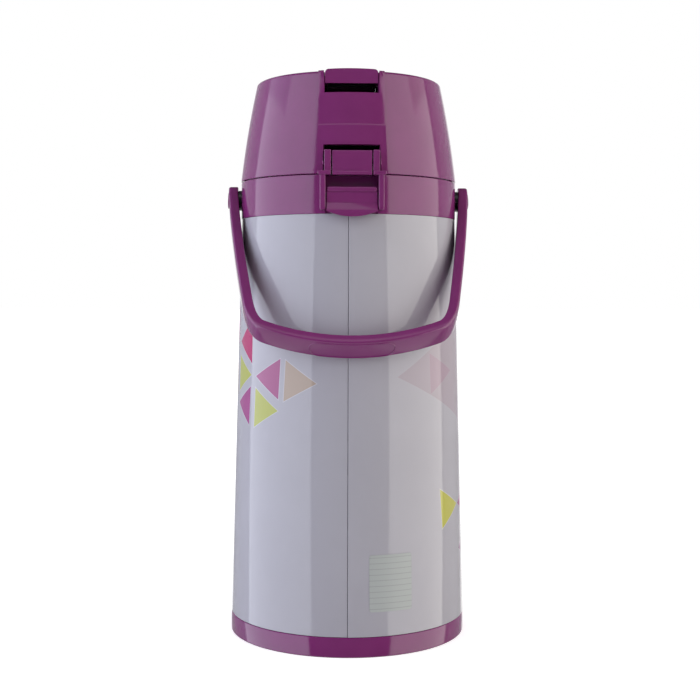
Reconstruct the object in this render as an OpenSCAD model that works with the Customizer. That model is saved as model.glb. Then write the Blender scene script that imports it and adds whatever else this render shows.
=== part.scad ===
// Pump pot: a glass-lined vacuum jug with a push-down pump lid and a swinging bail handle.
// Millimetres, +Z up. The origin is the centre of the foot on the table; the spout faces -Y and
// the lid hinge is on +Y.

/* [Body] */
// Outside diameter of the body sleeve at the base
body_d_bottom = 155.4; // [150:0.2:160]
// Outside diameter of the body sleeve at the collar
body_d_top = 143.5; // [140:0.1:146]
// Height of the moulded base ring
base_h = 12.8; // [10:0.2:16]
// Height of the sheet sleeve
sleeve_h = 261.4; // [240:0.2:290]
// Thickness of the sleeve sheet
sleeve_t = 0.8; // [0.5:0.1:1.2]
// How far the sleeve's lap seam stands proud
lap_t = 0.35; // [0.2:0.05:0.5]
// Width of the lap seam's strip
lap_w = 5; // [3:0.5:8]
// Height of the collar above the sleeve
collar_h = 24.6; // [22.5:0.1:27]
// Outside diameter of the collar at its top
collar_d = 144.4; // [143:0.1:146]
// Wall of the collar and of the base
mould_t = 3; // [2.4:0.1:3.6]

/* [Glass refill] */
// Outside diameter of the outer glass
refill_d = 129; // [120:1:132]
// Wall of each glass
glass_t = 1.6; // [1.2:0.1:2]
// Gap between the two glasses
vacuum_gap = 4.4; // [3:0.1:6]
// Inside diameter of the mouth
mouth_d = 56; // [50:1:60]
// Height of the rounded bottom and of the shoulder
dome_h = 36; // [30:1:42]

/* [Lid] */
// Outside diameter of the lid at its lower edge
lid_d = 144.8; // [144.6:0.1:147]
// Height of the lid from its lower edge to its rim
lid_h = 65.9; // [64:0.1:72]
// How much the lid's side leans in for each millimetre up
lid_draft = 0.108; // [0.09:0.002:0.12]
// How much the lid's side curves in
lid_curve = 0.00083; // [0.0006:0.00001:0.001]
// Radius of the lid's top edge
lid_edge_r = 2.4; // [1.5:0.1:4]
// Wall of the lid
lid_t = 2.2; // [1.8:0.1:2.8]
// Gap between the collar and the lid
seam_gap = 0.4; // [0.3:0.1:0.8]
// Width of the raised band over the lid
band_w = 43.2; // [42:0.2:46]
// How far the band stands proud of the lid's side
band_t = 1.3; // [0.8:0.1:1.6]
// How far the band stands proud of the lid's top
band_top = 0.5; // [0.3:0.1:1]

/* [Press plate] */
// Width of the press plate
plate_w = 33.6; // [32:0.1:34.5]
// Height of the press plate's side walls at its rear
plate_h = 9.4; // [8.6:0.1:10.4]
// How far the press plate stands above the band
plate_rise = 0.9; // [0.6:0.1:3]
// Side gap between the press plate and its channel
plate_gap = 0.7; // [0.5:0.1:1]
// Wall of the press plate
plate_t = 1.8; // [1.4:0.1:2.2]
// Distance from the axis of the pot to the plate's front end
plate_front = 55; // [50:1:57]
// Height of the slot below the plate at the rear
slot_h = 6.5; // [6:0.1:9]
// Diameter of the press plate's pin
plate_pin_d = 4; // [3:0.5:5]

/* [Pump] */
// Outside diameter of the bellows
bellows_d = 72; // [64:1:76]
// Depth of each fold of the bellows
fold = 5; // [3:0.5:7]
// Number of folds
folds = 6; // [4:1:8]
// Wall of the bellows
bellows_t = 1.2; // [0.8:0.1:1.6]
// Outside diameter of the water pipes
pipe_d = 8; // [7:0.5:9]
// Bore of the water pipes
pipe_bore = 5.6; // [4:0.2:6]
// Distance of the dip tube in front of the axis
tube_y = 18; // [16:1:20]
// Wire of the return spring
spring_wire = 1.6; // [1.2:0.1:2]
// Coils of the return spring
spring_coils = 7; // [5:1:9]

/* [Spout] */
// Distance from the axis of the pot to the nozzle
nozzle_y = 91; // [86:1:92]
// Width of the nose at the lid
nose_w = 43.2; // [40:0.2:46]
// Distance from the axis of the pot to the tip of the nose
nose_y = 102; // [98:1:103]

/* [Handle] */
// Height of the pivots above the collar's lower edge
pivot_up = 13.1; // [11.8:0.1:13.6]
// Width of the bail's strap
strap_w = 15.8; // [12:0.2:18]
// Thickness of the bail's arms
arm_t = 6.8; // [6:0.1:8]
// Thickness of the spacer between the collar's pad and the arm
spacer_t = 1.8; // [1.2:0.1:4]
// Reach of the bail's bow from the pivot to its inside face
bow_reach = 122.9; // [121:0.1:128]
// Thickness of the bow at its middle
bow_t = 6.4; // [6:0.1:8]
// Diameter of the arm's round end
arm_end_d = 18.6; // [17:0.1:20]
// Diameter of the pivot screw
pivot_d = 6; // [5:0.1:7]
// Diameter of the black spacer between collar and arm
spacer_d = 13.5; // [12:0.1:15]
// Diameter of the flat pad that the spacer sits on
pad_d = 20; // [18:0.5:20]

/* [Rear hinge] */
// Width of the centre knuckle
knuckle_w = 24.6; // [22:0.1:24.8]
// Thickness of each ear
ear_t = 4.2; // [3.4:0.1:4.4]
// Half depth of the ears round the hinge pin
ear_r = 5.6; // [5:0.1:6]
// Height of the ears above the hinge pin
ear_top = 4.8; // [4:0.1:5.2]
// Diameter of the hinge pin
hinge_pin_d = 4; // [3:0.1:4.5]
// Height of the hinge pin above the collar
hinge_up = 10; // [9.6:0.1:10.6]
// Distance from the axis of the pot to the hinge pin
hinge_y = 70.5; // [70:0.1:71]
// Height of the notch in the lid's band
notch_h = 17.5; // [17.4:0.1:20]
// Thickness of each rib below the hinge
rib_t = 3.6; // [3:0.1:4]

/* [Release lever] */
// Width of the release lever
lever_w = 31.4; // [28:0.1:31.6]
// Width of the recess that the lever sits in
recess_w = 32.7; // [32.4:0.1:34]
// Diameter of the lever's pin
lever_pin_d = 3; // [2.5:0.1:3.4]

/* [Label] */
// Width of the rating label
label_w = 28.5; // [20:0.5:34]
// Height of the rating label
label_h = 35; // [25:0.5:45]

/* [Hidden] */
$fn = 96;
eps = 0.01;
run_fit = 0.05;   // radial play of a turning joint
slip = 0.1;       // play between pieces that slip together
clear = 0.3;      // gap between separate soft or curved faces

// levels
z_sleeve0 = base_h;
z_sleeve1 = base_h + sleeve_h;
z_collar1 = z_sleeve1 + collar_h;
z_lid0 = z_collar1 + seam_gap;
z_lid1 = z_lid0 + lid_h;

// body
r_bottom = body_d_bottom/2;
r_top = body_d_top/2;
r_collar = collar_d/2;
shoulder_r = max(r_collar, r_top + 0.4);     // the collar at its widest
shoulder_step = shoulder_r - r_collar;
function sleeve_r(z) = r_bottom + (r_top - r_bottom)*(z - z_sleeve0)/sleeve_h;
spigot_h = 8;
web_z = 5;            // underside of the base's floor
web_t = 3;
plug_r = 32;
cup_z = 12;           // floor of the plug's cup
cushion_r = 24;
cushion_in = 8;
lap_at = 87.6;        // bearing of the lap seam

// refill
refill_r = refill_d/2;
inner_r = refill_r - glass_t - vacuum_gap;   // outside of the inner glass
deck_z = z_sleeve1 + 7.2;                    // underside of the collar's deck
deck_t = 3;
deck_top = deck_z + deck_t;
gasket_t = 3;
lip_z = deck_z - gasket_t;                   // top of the glass
lip_h = 2;
refill_z = 22;                               // lowest point of the outer glass
neck_h = 19;
mouth_r = mouth_d/2;
neck_in_r = mouth_r + glass_t;               // outside of the inner neck
neck_out_r = neck_in_r + 1 + glass_t;        // outside of the outer neck
ledge_r = mouth_r + 2;

// lid
lid_r = lid_d/2 + shoulder_step;
function lid_side(t) = lid_r - lid_draft*t - lid_curve*t*t;
base_disc_z = z_lid0 + 2.9;
base_disc_t = 2.5;
base_disc_top = base_disc_z + base_disc_t;
screw_at = 58;
screw_angle = 45;

// press plate
plate_top = z_lid1 + band_top + plate_rise;
plate_z = plate_top - plate_h;
plate_rear = lid_side(lid_h - 7) - 2.4;
plate_pin_y = plate_rear - 8.5;
plate_pin_z = plate_z + 2.6;
channel_w = plate_w + 2*plate_gap;
channel_front = plate_front + 2;
slot_z = plate_z - slot_h;
skirt_front = 7;      // height of the plate's walls in front of the pin

// pump
stop_r = 40;
stop_gap = 0.1;
stop_gasket_t = 2.5;
stop_z = deck_top + stop_gap + stop_gasket_t;
bellows_r = bellows_d/2;
cap_drop = 15.4;
cap_z = plate_z - cap_drop;
spring_r = 18;
cap_t = 3;
hub_r = 9;
hub_gap = 0.5;
push_z = plate_top - 4.8;          // underside of the plate's push rib
pipe_r = pipe_d/2;
pipe_bend = 6;
pipe_tip = 6;
pipe_run_z = stop_z + 8.6;
pipe_rise_y = 52;
pipe_nose_z = z_lid0 + 35;

// nose
nose_floor = z_lid0 + 28;
nozzle_z = z_lid0 + 12;
socket_top = min(nose_floor + 0.8, pipe_nose_z - pipe_bend - 0.1);

// handle
pivot_z = z_sleeve1 + pivot_up;
pad_x = shoulder_r + 0.4;
arm_in = pad_x + spacer_t;
arm_out = arm_in + arm_t;
arm_lean = 0.1;
arm_curl = 0.0004;
function arm_x(s) = arm_out - arm_lean*s - arm_curl*s*s;
bow_in_r = 130;
bow_out_r = 136;
bow_in_c = bow_reach - bow_in_r;
bow_out_c = bow_reach + bow_t - bow_out_r;
bow_k = sqrt(bow_reach*bow_reach + strap_w*strap_w/4);
bow_rest_z = pivot_z - 98.5;       // where the resting bow meets the sleeve
rest_angle = asin((sleeve_r(bow_rest_z) + lap_t + clear)/bow_k) + atan(strap_w/2/bow_reach);
head_r = 5.5;
head_t = 1.8;

// rear hinge
hinge_z = z_collar1 + hinge_up;
pin_y = hinge_y + shoulder_step;
ear_in = knuckle_w/2 + 0.8;
ear_out = ear_in + ear_t;
notch_w = 2*ear_out + 0.8;
ear_back = max(pin_y + ear_r, shoulder_r + 3.9);
cap_back = ear_back + 0.4;
recess_wall_y = shoulder_r - 10.2;
lip_low = z_collar1 - 0.8;         // the bead across the hinge
lip_high = z_collar1 + 1.8;
rib_in = recess_w/2 + 0.1;
rib_out = rib_in + rib_t;
rib_foot = z_sleeve1 + 2;

// release lever
lever_face = shoulder_r + 2;
lever_y = lever_face - 4.4;
lever_z = z_sleeve1 + 11.6;
coil_r = 2.9;

// label
label_z = z_sleeve0 + 15.2;
label_at = 108.9;
label_t = 0.2;

function flip(pts) = [for (i = [len(pts) - 1:-1:0]) pts[i]];
function arc(c, r, a0, a1, n) = [for (i = [0:n]) let (a = a0 + (a1 - a0)*i/n)
    [c[0] + r*cos(a), c[1] + r*sin(a)]];
function bezier(p, c, q, n) = [for (i = [1:n]) let (t = i/n)
    p*(1 - t)*(1 - t) + c*2*t*(1 - t) + q*t*t];

// A box from its two opposite corners.
module block(a, b) {
    translate(a) cube(b - a);
}

// A rod along X.
module x_rod(x0, x1, r, y, z) {
    translate([x0, y, z]) rotate([0, 90, 0]) cylinder(h = x1 - x0, r = r);
}

// A profile drawn in (Y, Z) and spread along X.
module along_x(x0, x1) {
    translate([x0, 0, 0]) rotate([90, 0, 90]) linear_extrude(x1 - x0) children();
}

// A profile drawn in (X, Z) and spread along +Y.
module along_y(y0, y1) {
    translate([0, y1, 0]) rotate([90, 0, 0]) linear_extrude(y1 - y0) children();
}

module both_sides() {
    children();
    mirror([1, 0, 0]) children();
}

// ---------------------------------------------------------------- body

module body_sleeve() color([0.66, 0.66, 0.74]) {
    rotate_extrude() polygon([[r_bottom - sleeve_t, z_sleeve0], [r_bottom, z_sleeve0],
        [r_top, z_sleeve1], [r_top - sleeve_t, z_sleeve1]]);
    // the lap where the sheet's end lies over its start
    rotate([0, 0, lap_at]) rotate_extrude(angle = lap_w/r_bottom*180/PI)
        polygon([[r_bottom - sleeve_t/2, z_sleeve0 + 0.5], [r_bottom + lap_t, z_sleeve0 + 0.5],
            [r_top + lap_t, z_sleeve1 - 0.5], [r_top - sleeve_t/2, z_sleeve1 - 0.5]]);
}

module base_ring() color([0.45, 0.22, 0.42]) {
    edge = 1.2;
    in_r = r_bottom - sleeve_t - slip;
    rotate_extrude() polygon(concat(
        [[plug_r + slip, web_z], [r_bottom - 6, web_z], [r_bottom - 6, 0]],
        arc([r_bottom + 0.3 - edge, edge], edge, -90, 0, 6),
        [[r_bottom + 0.3, z_sleeve0 - 5], [r_bottom + 0.1, z_sleeve0 - 0.5], [r_bottom - 0.3, z_sleeve0],
         [in_r, z_sleeve0], [in_r - 0.2, z_sleeve0 + spigot_h],
         [in_r - mould_t, z_sleeve0 + spigot_h], [in_r - mould_t, web_z + web_t],
         [plug_r + slip + mould_t, web_z + web_t], [plug_r + slip + mould_t, web_z + 7],
         [plug_r + slip, web_z + 7]]));
}

module base_plug() color([0.25, 0.12, 0.24]) {
    difference() {
        union() {
            translate([0, 0, web_z - 2]) cylinder(h = 2, r = plug_r + 5);
            translate([0, 0, web_z]) cylinder(h = cup_z + 2 - web_z, r = plug_r);
        }
        // the cup for the cushion, and the grip pockets below
        translate([0, 0, cup_z]) cylinder(h = 10, r = cushion_r + 2*slip);
        for (side = [-1, 1]) translate([0, side*15, 2]) cylinder(h = 7, r = 10);
    }
}

function outer_dome(r) = refill_z + dome_h - dome_h*sqrt(max(0, 1 - r*r/refill_r/refill_r));

module refill_cushion() color([0.2, 0.2, 0.21])
    rotate_extrude() polygon(concat([[cushion_in, cup_z], [cushion_r, cup_z]],
        [for (i = [8:-1:0]) let (r = cushion_in + (cushion_r - cushion_in)*i/8)
            [r, outer_dome(r) - clear]]));

// One glass: a domed bottle with its neck, r outside, low its lowest point, neck its neck radius.
function bottle(r, low, dome, neck, top, n) = concat(
    [for (i = [0:n]) let (a = -90 + 90*i/n) [r*cos(a), low + dome + dome*sin(a)]],
    [for (i = [0:n]) let (a = 90*i/n)
        [neck + (r - neck)*cos(a), top - neck_h - dome + dome*sin(a)]],
    [[neck, top]]);

module refill_outer() color([0.8, 0.82, 0.85])
    rotate_extrude() polygon(concat(
        bottle(refill_r, refill_z, dome_h, neck_out_r, lip_z - lip_h, 10),
        flip(bottle(refill_r - glass_t, refill_z + glass_t, dome_h - glass_t,
            neck_out_r - glass_t, lip_z - lip_h, 10))));

module refill_inner() color([0.85, 0.88, 0.9]) {
    low = refill_z + glass_t + vacuum_gap;
    rotate_extrude() polygon(concat(
        bottle(inner_r, low, dome_h - vacuum_gap, neck_in_r, lip_z - lip_h, 10),
        [[neck_out_r, lip_z - lip_h], [neck_out_r, lip_z], [mouth_r, lip_z]],
        flip(bottle(inner_r - glass_t, low + glass_t, dome_h - vacuum_gap - glass_t,
            mouth_r, lip_z - lip_h, 10))));
}

module neck_gasket() color([0.3, 0.3, 0.31])
    translate([0, 0, lip_z]) difference() {
        cylinder(h = gasket_t, r = neck_out_r + 4);
        translate([0, 0, -eps]) cylinder(h = gasket_t + 2*eps, r = mouth_r);
    }

// ---------------------------------------------------------------- collar

module collar() color([0.43, 0.2, 0.4]) difference() {
    union() {
        rotate_extrude() polygon([
            [r_top - sleeve_t - slip, z_sleeve1 - spigot_h], [r_top - sleeve_t - slip, z_sleeve1],
            [r_top + 0.3, z_sleeve1], [r_top + 0.4, z_sleeve1 + 0.6],
            [r_collar, z_collar1 - 0.5], [r_collar - 0.5, z_collar1],
            [r_collar - mould_t, z_collar1], [r_collar - mould_t - 0.5, deck_top],
            [ledge_r, deck_top], [ledge_r, deck_top - 1.5], [mouth_r, deck_top - 1.5],
            [mouth_r, deck_z], [r_top - mould_t - 4, deck_z],
            [r_top - sleeve_t - slip - mould_t, z_sleeve1 - spigot_h]]);
        // handle pads
        both_sides() x_rod(60, pad_x, pad_d/2, 0, pivot_z);
        // the recess's back wall, and the ribs and caps on each side of it
        block([-rib_out, recess_wall_y - 2, deck_z], [rib_out, recess_wall_y, z_collar1]);
        both_sides() {
            block([rib_in, recess_wall_y - 2, rib_foot + rib_t/2], [rib_out, ear_back, z_collar1]);
            translate([(rib_in + rib_out)/2, ear_back, rib_foot + rib_t/2]) rotate([90, 0, 0])
                cylinder(h = ear_back - recess_wall_y, d = rib_t);
            block([ear_in, shoulder_r + 1.9, lip_low], [rib_out + 1.4, cap_back, lip_high]);
            // ears
            block([ear_in, recess_wall_y, deck_top], [ear_out, ear_back - 1, hinge_z + ear_top]);
            block([ear_in, recess_wall_y, deck_top], [ear_out, ear_back, hinge_z + ear_top - 1]);
            x_rod(ear_in, ear_out, 1, ear_back - 1, hinge_z + ear_top - 1);
        }
    }
    // recess for the lever, open at the back and the top
    block([-recess_w/2, recess_wall_y, z_sleeve1], [recess_w/2, 90, z_collar1 - 2.6]);
    block([-ear_in, recess_wall_y, z_collar1 - 3], [ear_in, 90, z_lid1]);
    // forward edge of the ears, rounded off under the lid
    both_sides() block([ear_in - 1, recess_wall_y - 1, z_collar1], [rib_out + 3, pin_y - ear_r, z_lid1]);
    // bores
    both_sides() x_rod(62, pad_x + 1, pivot_d/2, 0, pivot_z);
    x_rod(-ear_out - 1, ear_out + 1, hinge_pin_d/2, pin_y, hinge_z);
    x_rod(-rib_out + 1, rib_out - 1, lever_pin_d/2, lever_y, lever_z);
}

module tube_holder() color([0.85, 0.85, 0.84]) difference() {
    union() {
        translate([0, 0, deck_top - 1.5]) cylinder(h = 1.5, r = ledge_r - slip);
        translate([0, -tube_y, lip_z - 4]) cylinder(h = deck_top - lip_z + 4, r = pipe_r + 2);
    }
    translate([0, -tube_y, lip_z - 5]) cylinder(h = 20, r = pipe_r);
    // the mouth stays open behind the tube
    intersection() {
        translate([0, 0, deck_top - 2]) cylinder(h = 3, r = mouth_r - 1.4);
        block([-30, -tube_y + pipe_r + 3, deck_top - 3], [30, 30, deck_top + 2]);
    }
}

module dip_tube() color([0.88, 0.88, 0.88])
    translate([0, -tube_y, 0]) difference() {
        translate([0, 0, refill_z + 12]) cylinder(h = deck_top - refill_z - 12, r = pipe_r);
        translate([0, 0, refill_z + 11]) cylinder(h = deck_top, r = pipe_bore/2);
    }

module tube_seal() color([0.3, 0.3, 0.31])
    translate([0, -tube_y, deck_top]) difference() {
        cylinder(h = 2.2, r = pipe_r + 2);
        translate([0, 0, -eps]) cylinder(h = 3, r = pipe_bore/2);
    }

module rating_label() color([0.68, 0.72, 0.7]) {
    span = label_w/sleeve_r(label_z)*180/PI;
    g = 0.05;
    rotate([0, 0, label_at - span/2]) rotate_extrude(angle = span) polygon([
        [sleeve_r(label_z) + g, label_z], [sleeve_r(label_z) + g + label_t, label_z],
        [sleeve_r(label_z + label_h) + g + label_t, label_z + label_h],
        [sleeve_r(label_z + label_h) + g, label_z + label_h]]);
}

// ---------------------------------------------------------------- handle

module pivot_spacer() color([0.08, 0.08, 0.09]) difference() {
    x_rod(pad_x, arm_in - 0.15, spacer_d/2, 0, pivot_z);
    x_rod(pad_x - 1, arm_in + 1, pivot_d/2, 0, pivot_z);
}

module pivot_screw() color([0.7, 0.7, 0.72]) difference() {
    union() {
        x_rod(63, arm_out - head_t - 0.1, pivot_d/2, 0, pivot_z);
        x_rod(arm_out - head_t - 0.1, arm_out - 0.2, head_r, 0, pivot_z);
    }
    // cross slot
    for (a = [45, 135]) translate([arm_out - 1.1, 0, pivot_z]) rotate([a, 0, 0])
        translate([0, -3, -0.6]) cube([3, 6, 1.2]);
}

module pivot_spacer_l() mirror([1, 0, 0]) pivot_spacer();
module pivot_spacer_r() pivot_spacer();
module pivot_screw_l() mirror([1, 0, 0]) pivot_screw();
module pivot_screw_r() pivot_screw();

// The right half of the bail's outline from the pivot to the middle of the bow.
function bow_pt(r, c, x) = [x, c + sqrt(r*r - x*x)];
arm_end_s = 90;
function outline(inset, r, c, x1, pull, n) = let (
    side = [for (i = [0:9]) let (s = arm_end_s*i/9) [arm_x(s) - inset, s]],
    q = bow_pt(r, c, x1),
    k = bow_pt(r, c, x1 + 9)) concat(side,
        bezier(side[9], [k[0] + pull, k[1] - 0.45*pull], q, 6),
        [for (i = [1:n]) bow_pt(r, c, x1*(1 - i/n))]);
function mirrored(pts) = concat(pts, [for (i = [len(pts) - 2:-1:0]) [-pts[i][0], pts[i][1]]]);

module handle() color([0.42, 0.19, 0.39])
    translate([0, 0, pivot_z]) rotate([rest_angle - 90, 0, 0]) difference() {
        union() {
            linear_extrude(strap_w, center = true) difference() {
                polygon(mirrored(outline(0, bow_out_r, bow_out_c, 56, 1, 14)));
                polygon(mirrored(concat([[arm_in, -30]],
                    outline(arm_t, bow_in_r, bow_in_c, 54, -3.4, 14))));
            }
            both_sides() translate([arm_in, 0, 0]) rotate([0, 90, 0])
                cylinder(h = arm_t, d = arm_end_d);
        }
        // pivot bores and the screw heads' pockets
        both_sides() {
            translate([arm_in - 1, 0, 0]) rotate([0, 90, 0])
                cylinder(h = arm_t + 2, r = pivot_d/2 + run_fit);
            translate([arm_out - head_t - 0.2, 0, 0]) rotate([0, 90, 0])
                cylinder(h = 3, r = head_r + clear);
            // a flat face round the bore for the spacer
            translate([arm_in - 4, 0, 0]) rotate([0, 90, 0])
                cylinder(h = 4, r = spacer_d/2 + 1);
        }
        // the fine capsule line on the bow's outer face
        intersection() {
            translate([0, bow_out_c, 0]) difference() {
                cylinder(h = strap_w, r = bow_out_r + 1, center = true);
                cylinder(h = strap_w + 1, r = bow_out_r - 0.5, center = true);
            }
            translate([0, bow_reach - 10, 0]) rotate([-90, 0, 0]) linear_extrude(40)
                difference() { capsule(54, 10); capsule(52.8, 8.8); }
        }
    }

module capsule(l, w) {
    square([l - w, w], center = true);
    for (side = [-1, 1]) translate([side*(l - w)/2, 0]) circle(d = w);
}

module hinge_pin() color([0.75, 0.75, 0.77])
    x_rod(-ear_out - 0.2, ear_out + 0.2, hinge_pin_d/2, pin_y, hinge_z);

// ---------------------------------------------------------------- release lever

module lever_pin() color([0.75, 0.75, 0.77])
    x_rod(-rib_out + 1.1, rib_out - 1.1, lever_pin_d/2, lever_y, lever_z);

module lever_spring() color([0.6, 0.6, 0.62]) {
    difference() {
        x_rod(-4, 4, coil_r, lever_y, lever_z);
        x_rod(-5, 5, lever_pin_d/2 + 0.2, lever_y, lever_z);
    }
    block([3, recess_wall_y, lever_z - coil_r], [4, lever_y - 0.5, lever_z - coil_r + 1]);
}

module release_lever() color([0.45, 0.22, 0.42]) {
    f = lever_face;
    lip_y = f + 3.4;
    corner = 1.3;
    z = z_sleeve1;
    difference() {
        intersection() {
            along_x(-lever_w, lever_w) polygon([[f - 2.6, z + 16.4], [f - 0.8, z + 16], [f - 0.2, z + 15.2],
                [f, z + 13.5], [f, z + 6.6], [lip_y, z + 1.9], [lip_y + 0.3, z + 0.5], [lip_y, z - 2.1],
                [f + 0.6, z - 2.1], [f - 0.5, z + 0.4], [f - 1.3, z + 3.6], [f - 2.9, z + 6.2],
                [lever_y - 3, z + 8.7], [lever_y - 3.6, lever_z], [lever_y - 3, z + 15],
                [lever_y - 1, z + 16.4]]);
            along_y(60, 90) union() {
                translate([-lever_w/2, z + 1]) square([lever_w, 14.1]);
                translate([-lever_w/2 + corner, z + 1]) square([lever_w - 2*corner, 15.5]);
                for (side = [-1, 1]) translate([side*(lever_w/2 - corner), z + 16.4 - corner])
                    circle(r = corner);
                // the finger lip hangs down in a shallow arc
                intersection() {
                    translate([0, z - 2.1 + 38.7]) circle(r = 38.7);
                    translate([-lever_w/2 - 0.4, z - 4]) square([lever_w + 0.8, 6]);
                }
            }
        }
        x_rod(-lever_w, lever_w, lever_pin_d/2 + run_fit, lever_y, lever_z);
        // pocket for the spring
        x_rod(-5, 5, coil_r + 0.4, lever_y, lever_z);
        block([-5, 60, lever_z - coil_r - 2], [5, lever_y, lever_z + coil_r + 0.4]);
    }
}

// ---------------------------------------------------------------- lid

// The lid's outer form, its side grown by grow and its top by rise, filled down to z0.
module lid_form(grow, z0, rise) {
    top = z_lid1 + rise;
    t1 = lid_h - lid_edge_r;
    rotate_extrude() polygon(concat([[0, z0], [lid_side(0) + grow, z0]],
        [for (i = [0:12]) let (t = t1*i/12) [lid_side(t) + grow, z_lid0 + t]],
        arc([lid_side(t1) + grow - lid_edge_r, top - lid_edge_r], lid_edge_r, 10, 90, 5),
        [[0, top]]));
}

// The nose's side profile, drawn in (Y, Z).
function nose_pts(in) = [[-40, z_lid1 + band_top - in], [-nose_y + 23, z_lid1 + band_top - in],
    [-nose_y + 17 + in*0.3, z_lid1 - 1.5 - in*0.9], [-nose_y + 11 + in*0.5, z_lid1 - 7 - in*0.8],
    [-nose_y + 4 + in, z_lid1 - 18],
    [-nose_y + in, z_lid1 - 30], [-nose_y + 2 + in, nose_floor + 4 + in],
    [-nose_y + 6 + in, nose_floor + in], [-40, nose_floor + in]];

module nose_plan(w) {
    polygon(concat([[-w/2, 0], [-w/2 + 1, -80]],
        bezier([-w/2 + 1, -80], [-w/2 + 4, -nose_y - 1], [0, -nose_y - 1], 8),
        bezier([0, -nose_y - 1], [w/2 - 4, -nose_y - 1], [w/2 - 1, -80], 8), [[w/2, 0]]));
}

module nose(in) intersection() {
    along_x(-nose_w/2 - 1, nose_w/2 + 1) polygon(nose_pts(in));
    translate([0, 0, z_lid0]) linear_extrude(lid_h + 5) nose_plan(nose_w - 2*in);
}

module screw_spots() for (a = [0:3]) rotate([0, 0, screw_angle + 90*a])
    translate([screw_at, 0, 0]) children();

module lid_shell() color([0.44, 0.2, 0.41]) difference() {
    union() {
        difference() {
            union() {
                lid_form(0, z_lid0, 0);
                intersection() {
                    lid_form(band_t, z_lid0, band_top);
                    block([-band_w/2, -80, z_lid0 - 1], [band_w/2, 80, z_lid1 + 5]);
                }
                nose(0);
            }
            lid_form(-lid_t, z_lid0 - 1, -lid_t);
            difference() {
                nose(lid_t);
                block([-30, -lid_side(40) + lid_t, z_lid0], [30, 0, z_lid1 + 5]);
            }
        }
        intersection() {
            lid_form(-lid_t/2, z_lid0 - 1, -lid_t/2);
            union() {
                // channel walls that carry the plate's pin
                both_sides() block([channel_w/2, -channel_front - lid_t, slot_z],
                    [channel_w/2 + lid_t, 80, z_lid1 + 5]);
                block([-channel_w/2, -channel_front - lid_t, slot_z],
                    [channel_w/2, -channel_front, z_lid1 + 5]);
                // screw bosses
                screw_spots() {
                    translate([0, 0, base_disc_top]) cylinder(h = 30, r = 4);
                    block([3, -1.25, base_disc_top], [20, 1.25, base_disc_top + 28]);
                }
            }
        }
    }
    // channel for the press plate, open over the rear slot
    block([-channel_w/2, -channel_front, slot_z], [channel_w/2, 90, z_lid1 + 10]);
    // hinge notch
    block([-notch_w/2, 50, z_lid0 - 1], [notch_w/2, 90, z_lid0 + notch_h]);
    // pin bores, screw holes, the nozzle's hole and the lock's slot
    x_rod(-channel_w/2 - 5, channel_w/2 + 5, plate_pin_d/2, plate_pin_y, plate_pin_z);
    screw_spots() translate([0, 0, base_disc_top - 1]) cylinder(h = 12, r = 1.75);
    translate([0, -nozzle_y, nozzle_z]) cylinder(h = 30, r = pipe_r + 2.5);
    block([-4.2, -channel_front - 19, plate_top - 11.6], [4.2, -channel_front + 1, z_lid1 + 10]);
}

module lid_base() color([0.83, 0.83, 0.82]) difference() {
    union() {
        translate([0, 0, base_disc_z]) cylinder(h = base_disc_t, r = lid_side(4.5) - lid_t - slip);
        // hinge knuckle and the plate behind it
        block([-knuckle_w/2, pin_y - 14, base_disc_z], [knuckle_w/2, pin_y, hinge_z]);
        block([-knuckle_w/2, pin_y - ear_r, base_disc_z],
            [knuckle_w/2, ear_back - 1, hinge_z + ear_top - 0.4]);
        block([-knuckle_w/2, pin_y - 1, z_lid0], [knuckle_w/2, ear_back, hinge_z + ear_top - 1.4]);
        x_rod(-knuckle_w/2, knuckle_w/2, 1, ear_back - 1, hinge_z + ear_top - 1.4);
        // the lip bead
        block([-knuckle_w/2, pin_y, lip_low], [knuckle_w/2, ear_back + 0.4, lip_high]);
    }
    x_rod(-20, 20, hinge_pin_d/2 + run_fit, pin_y, hinge_z);
    // room for the ears
    both_sides() block([knuckle_w/2, pin_y - ear_r - 1.5, z_lid0 - 1],
        [notch_w/2, 90, base_disc_top + 1]);
    block([-notch_w/2, pin_y, base_disc_z - 1], [-knuckle_w/2, 90, base_disc_top + 1]);
    // air hole, pipe hole and screw holes
    translate([0, 8, base_disc_z - 1]) cylinder(h = 8, r = 3);
    translate([0, -pipe_rise_y, base_disc_z - 1]) cylinder(h = 8, r = pipe_r + slip);
    screw_spots() translate([0, 0, base_disc_z - 1]) cylinder(h = 6, r = 1.9);
}

module stopper() color([0.86, 0.86, 0.85]) difference() {
    translate([0, 0, stop_z]) cylinder(h = base_disc_z - stop_z, r = stop_r);
    translate([0, 0, stop_z + 2]) cylinder(h = 40, r = stop_r - 2);
    translate([0, 8, stop_z - 1]) cylinder(h = 5, r = 3);
    translate([0, -tube_y, stop_z - 1]) cylinder(h = 5, r = pipe_r + slip);
    // the pipe leaves through the front wall
    block([-pipe_r - 0.3, -stop_r - 1, pipe_run_z - pipe_r - 0.3],
        [pipe_r + 0.3, -stop_r + 4, base_disc_z + 1]);
}

module stopper_gasket() color([0.3, 0.3, 0.31])
    translate([0, 0, stop_z - stop_gasket_t]) difference() {
        cylinder(h = stop_gasket_t, r = ledge_r + 7);
        translate([0, 0, -1]) cylinder(h = 9, r = ledge_r + 1);
    }

module air_valve() color([0.32, 0.32, 0.33])
    translate([0, 8, base_disc_top]) cylinder(h = 1, r = 6);

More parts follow.
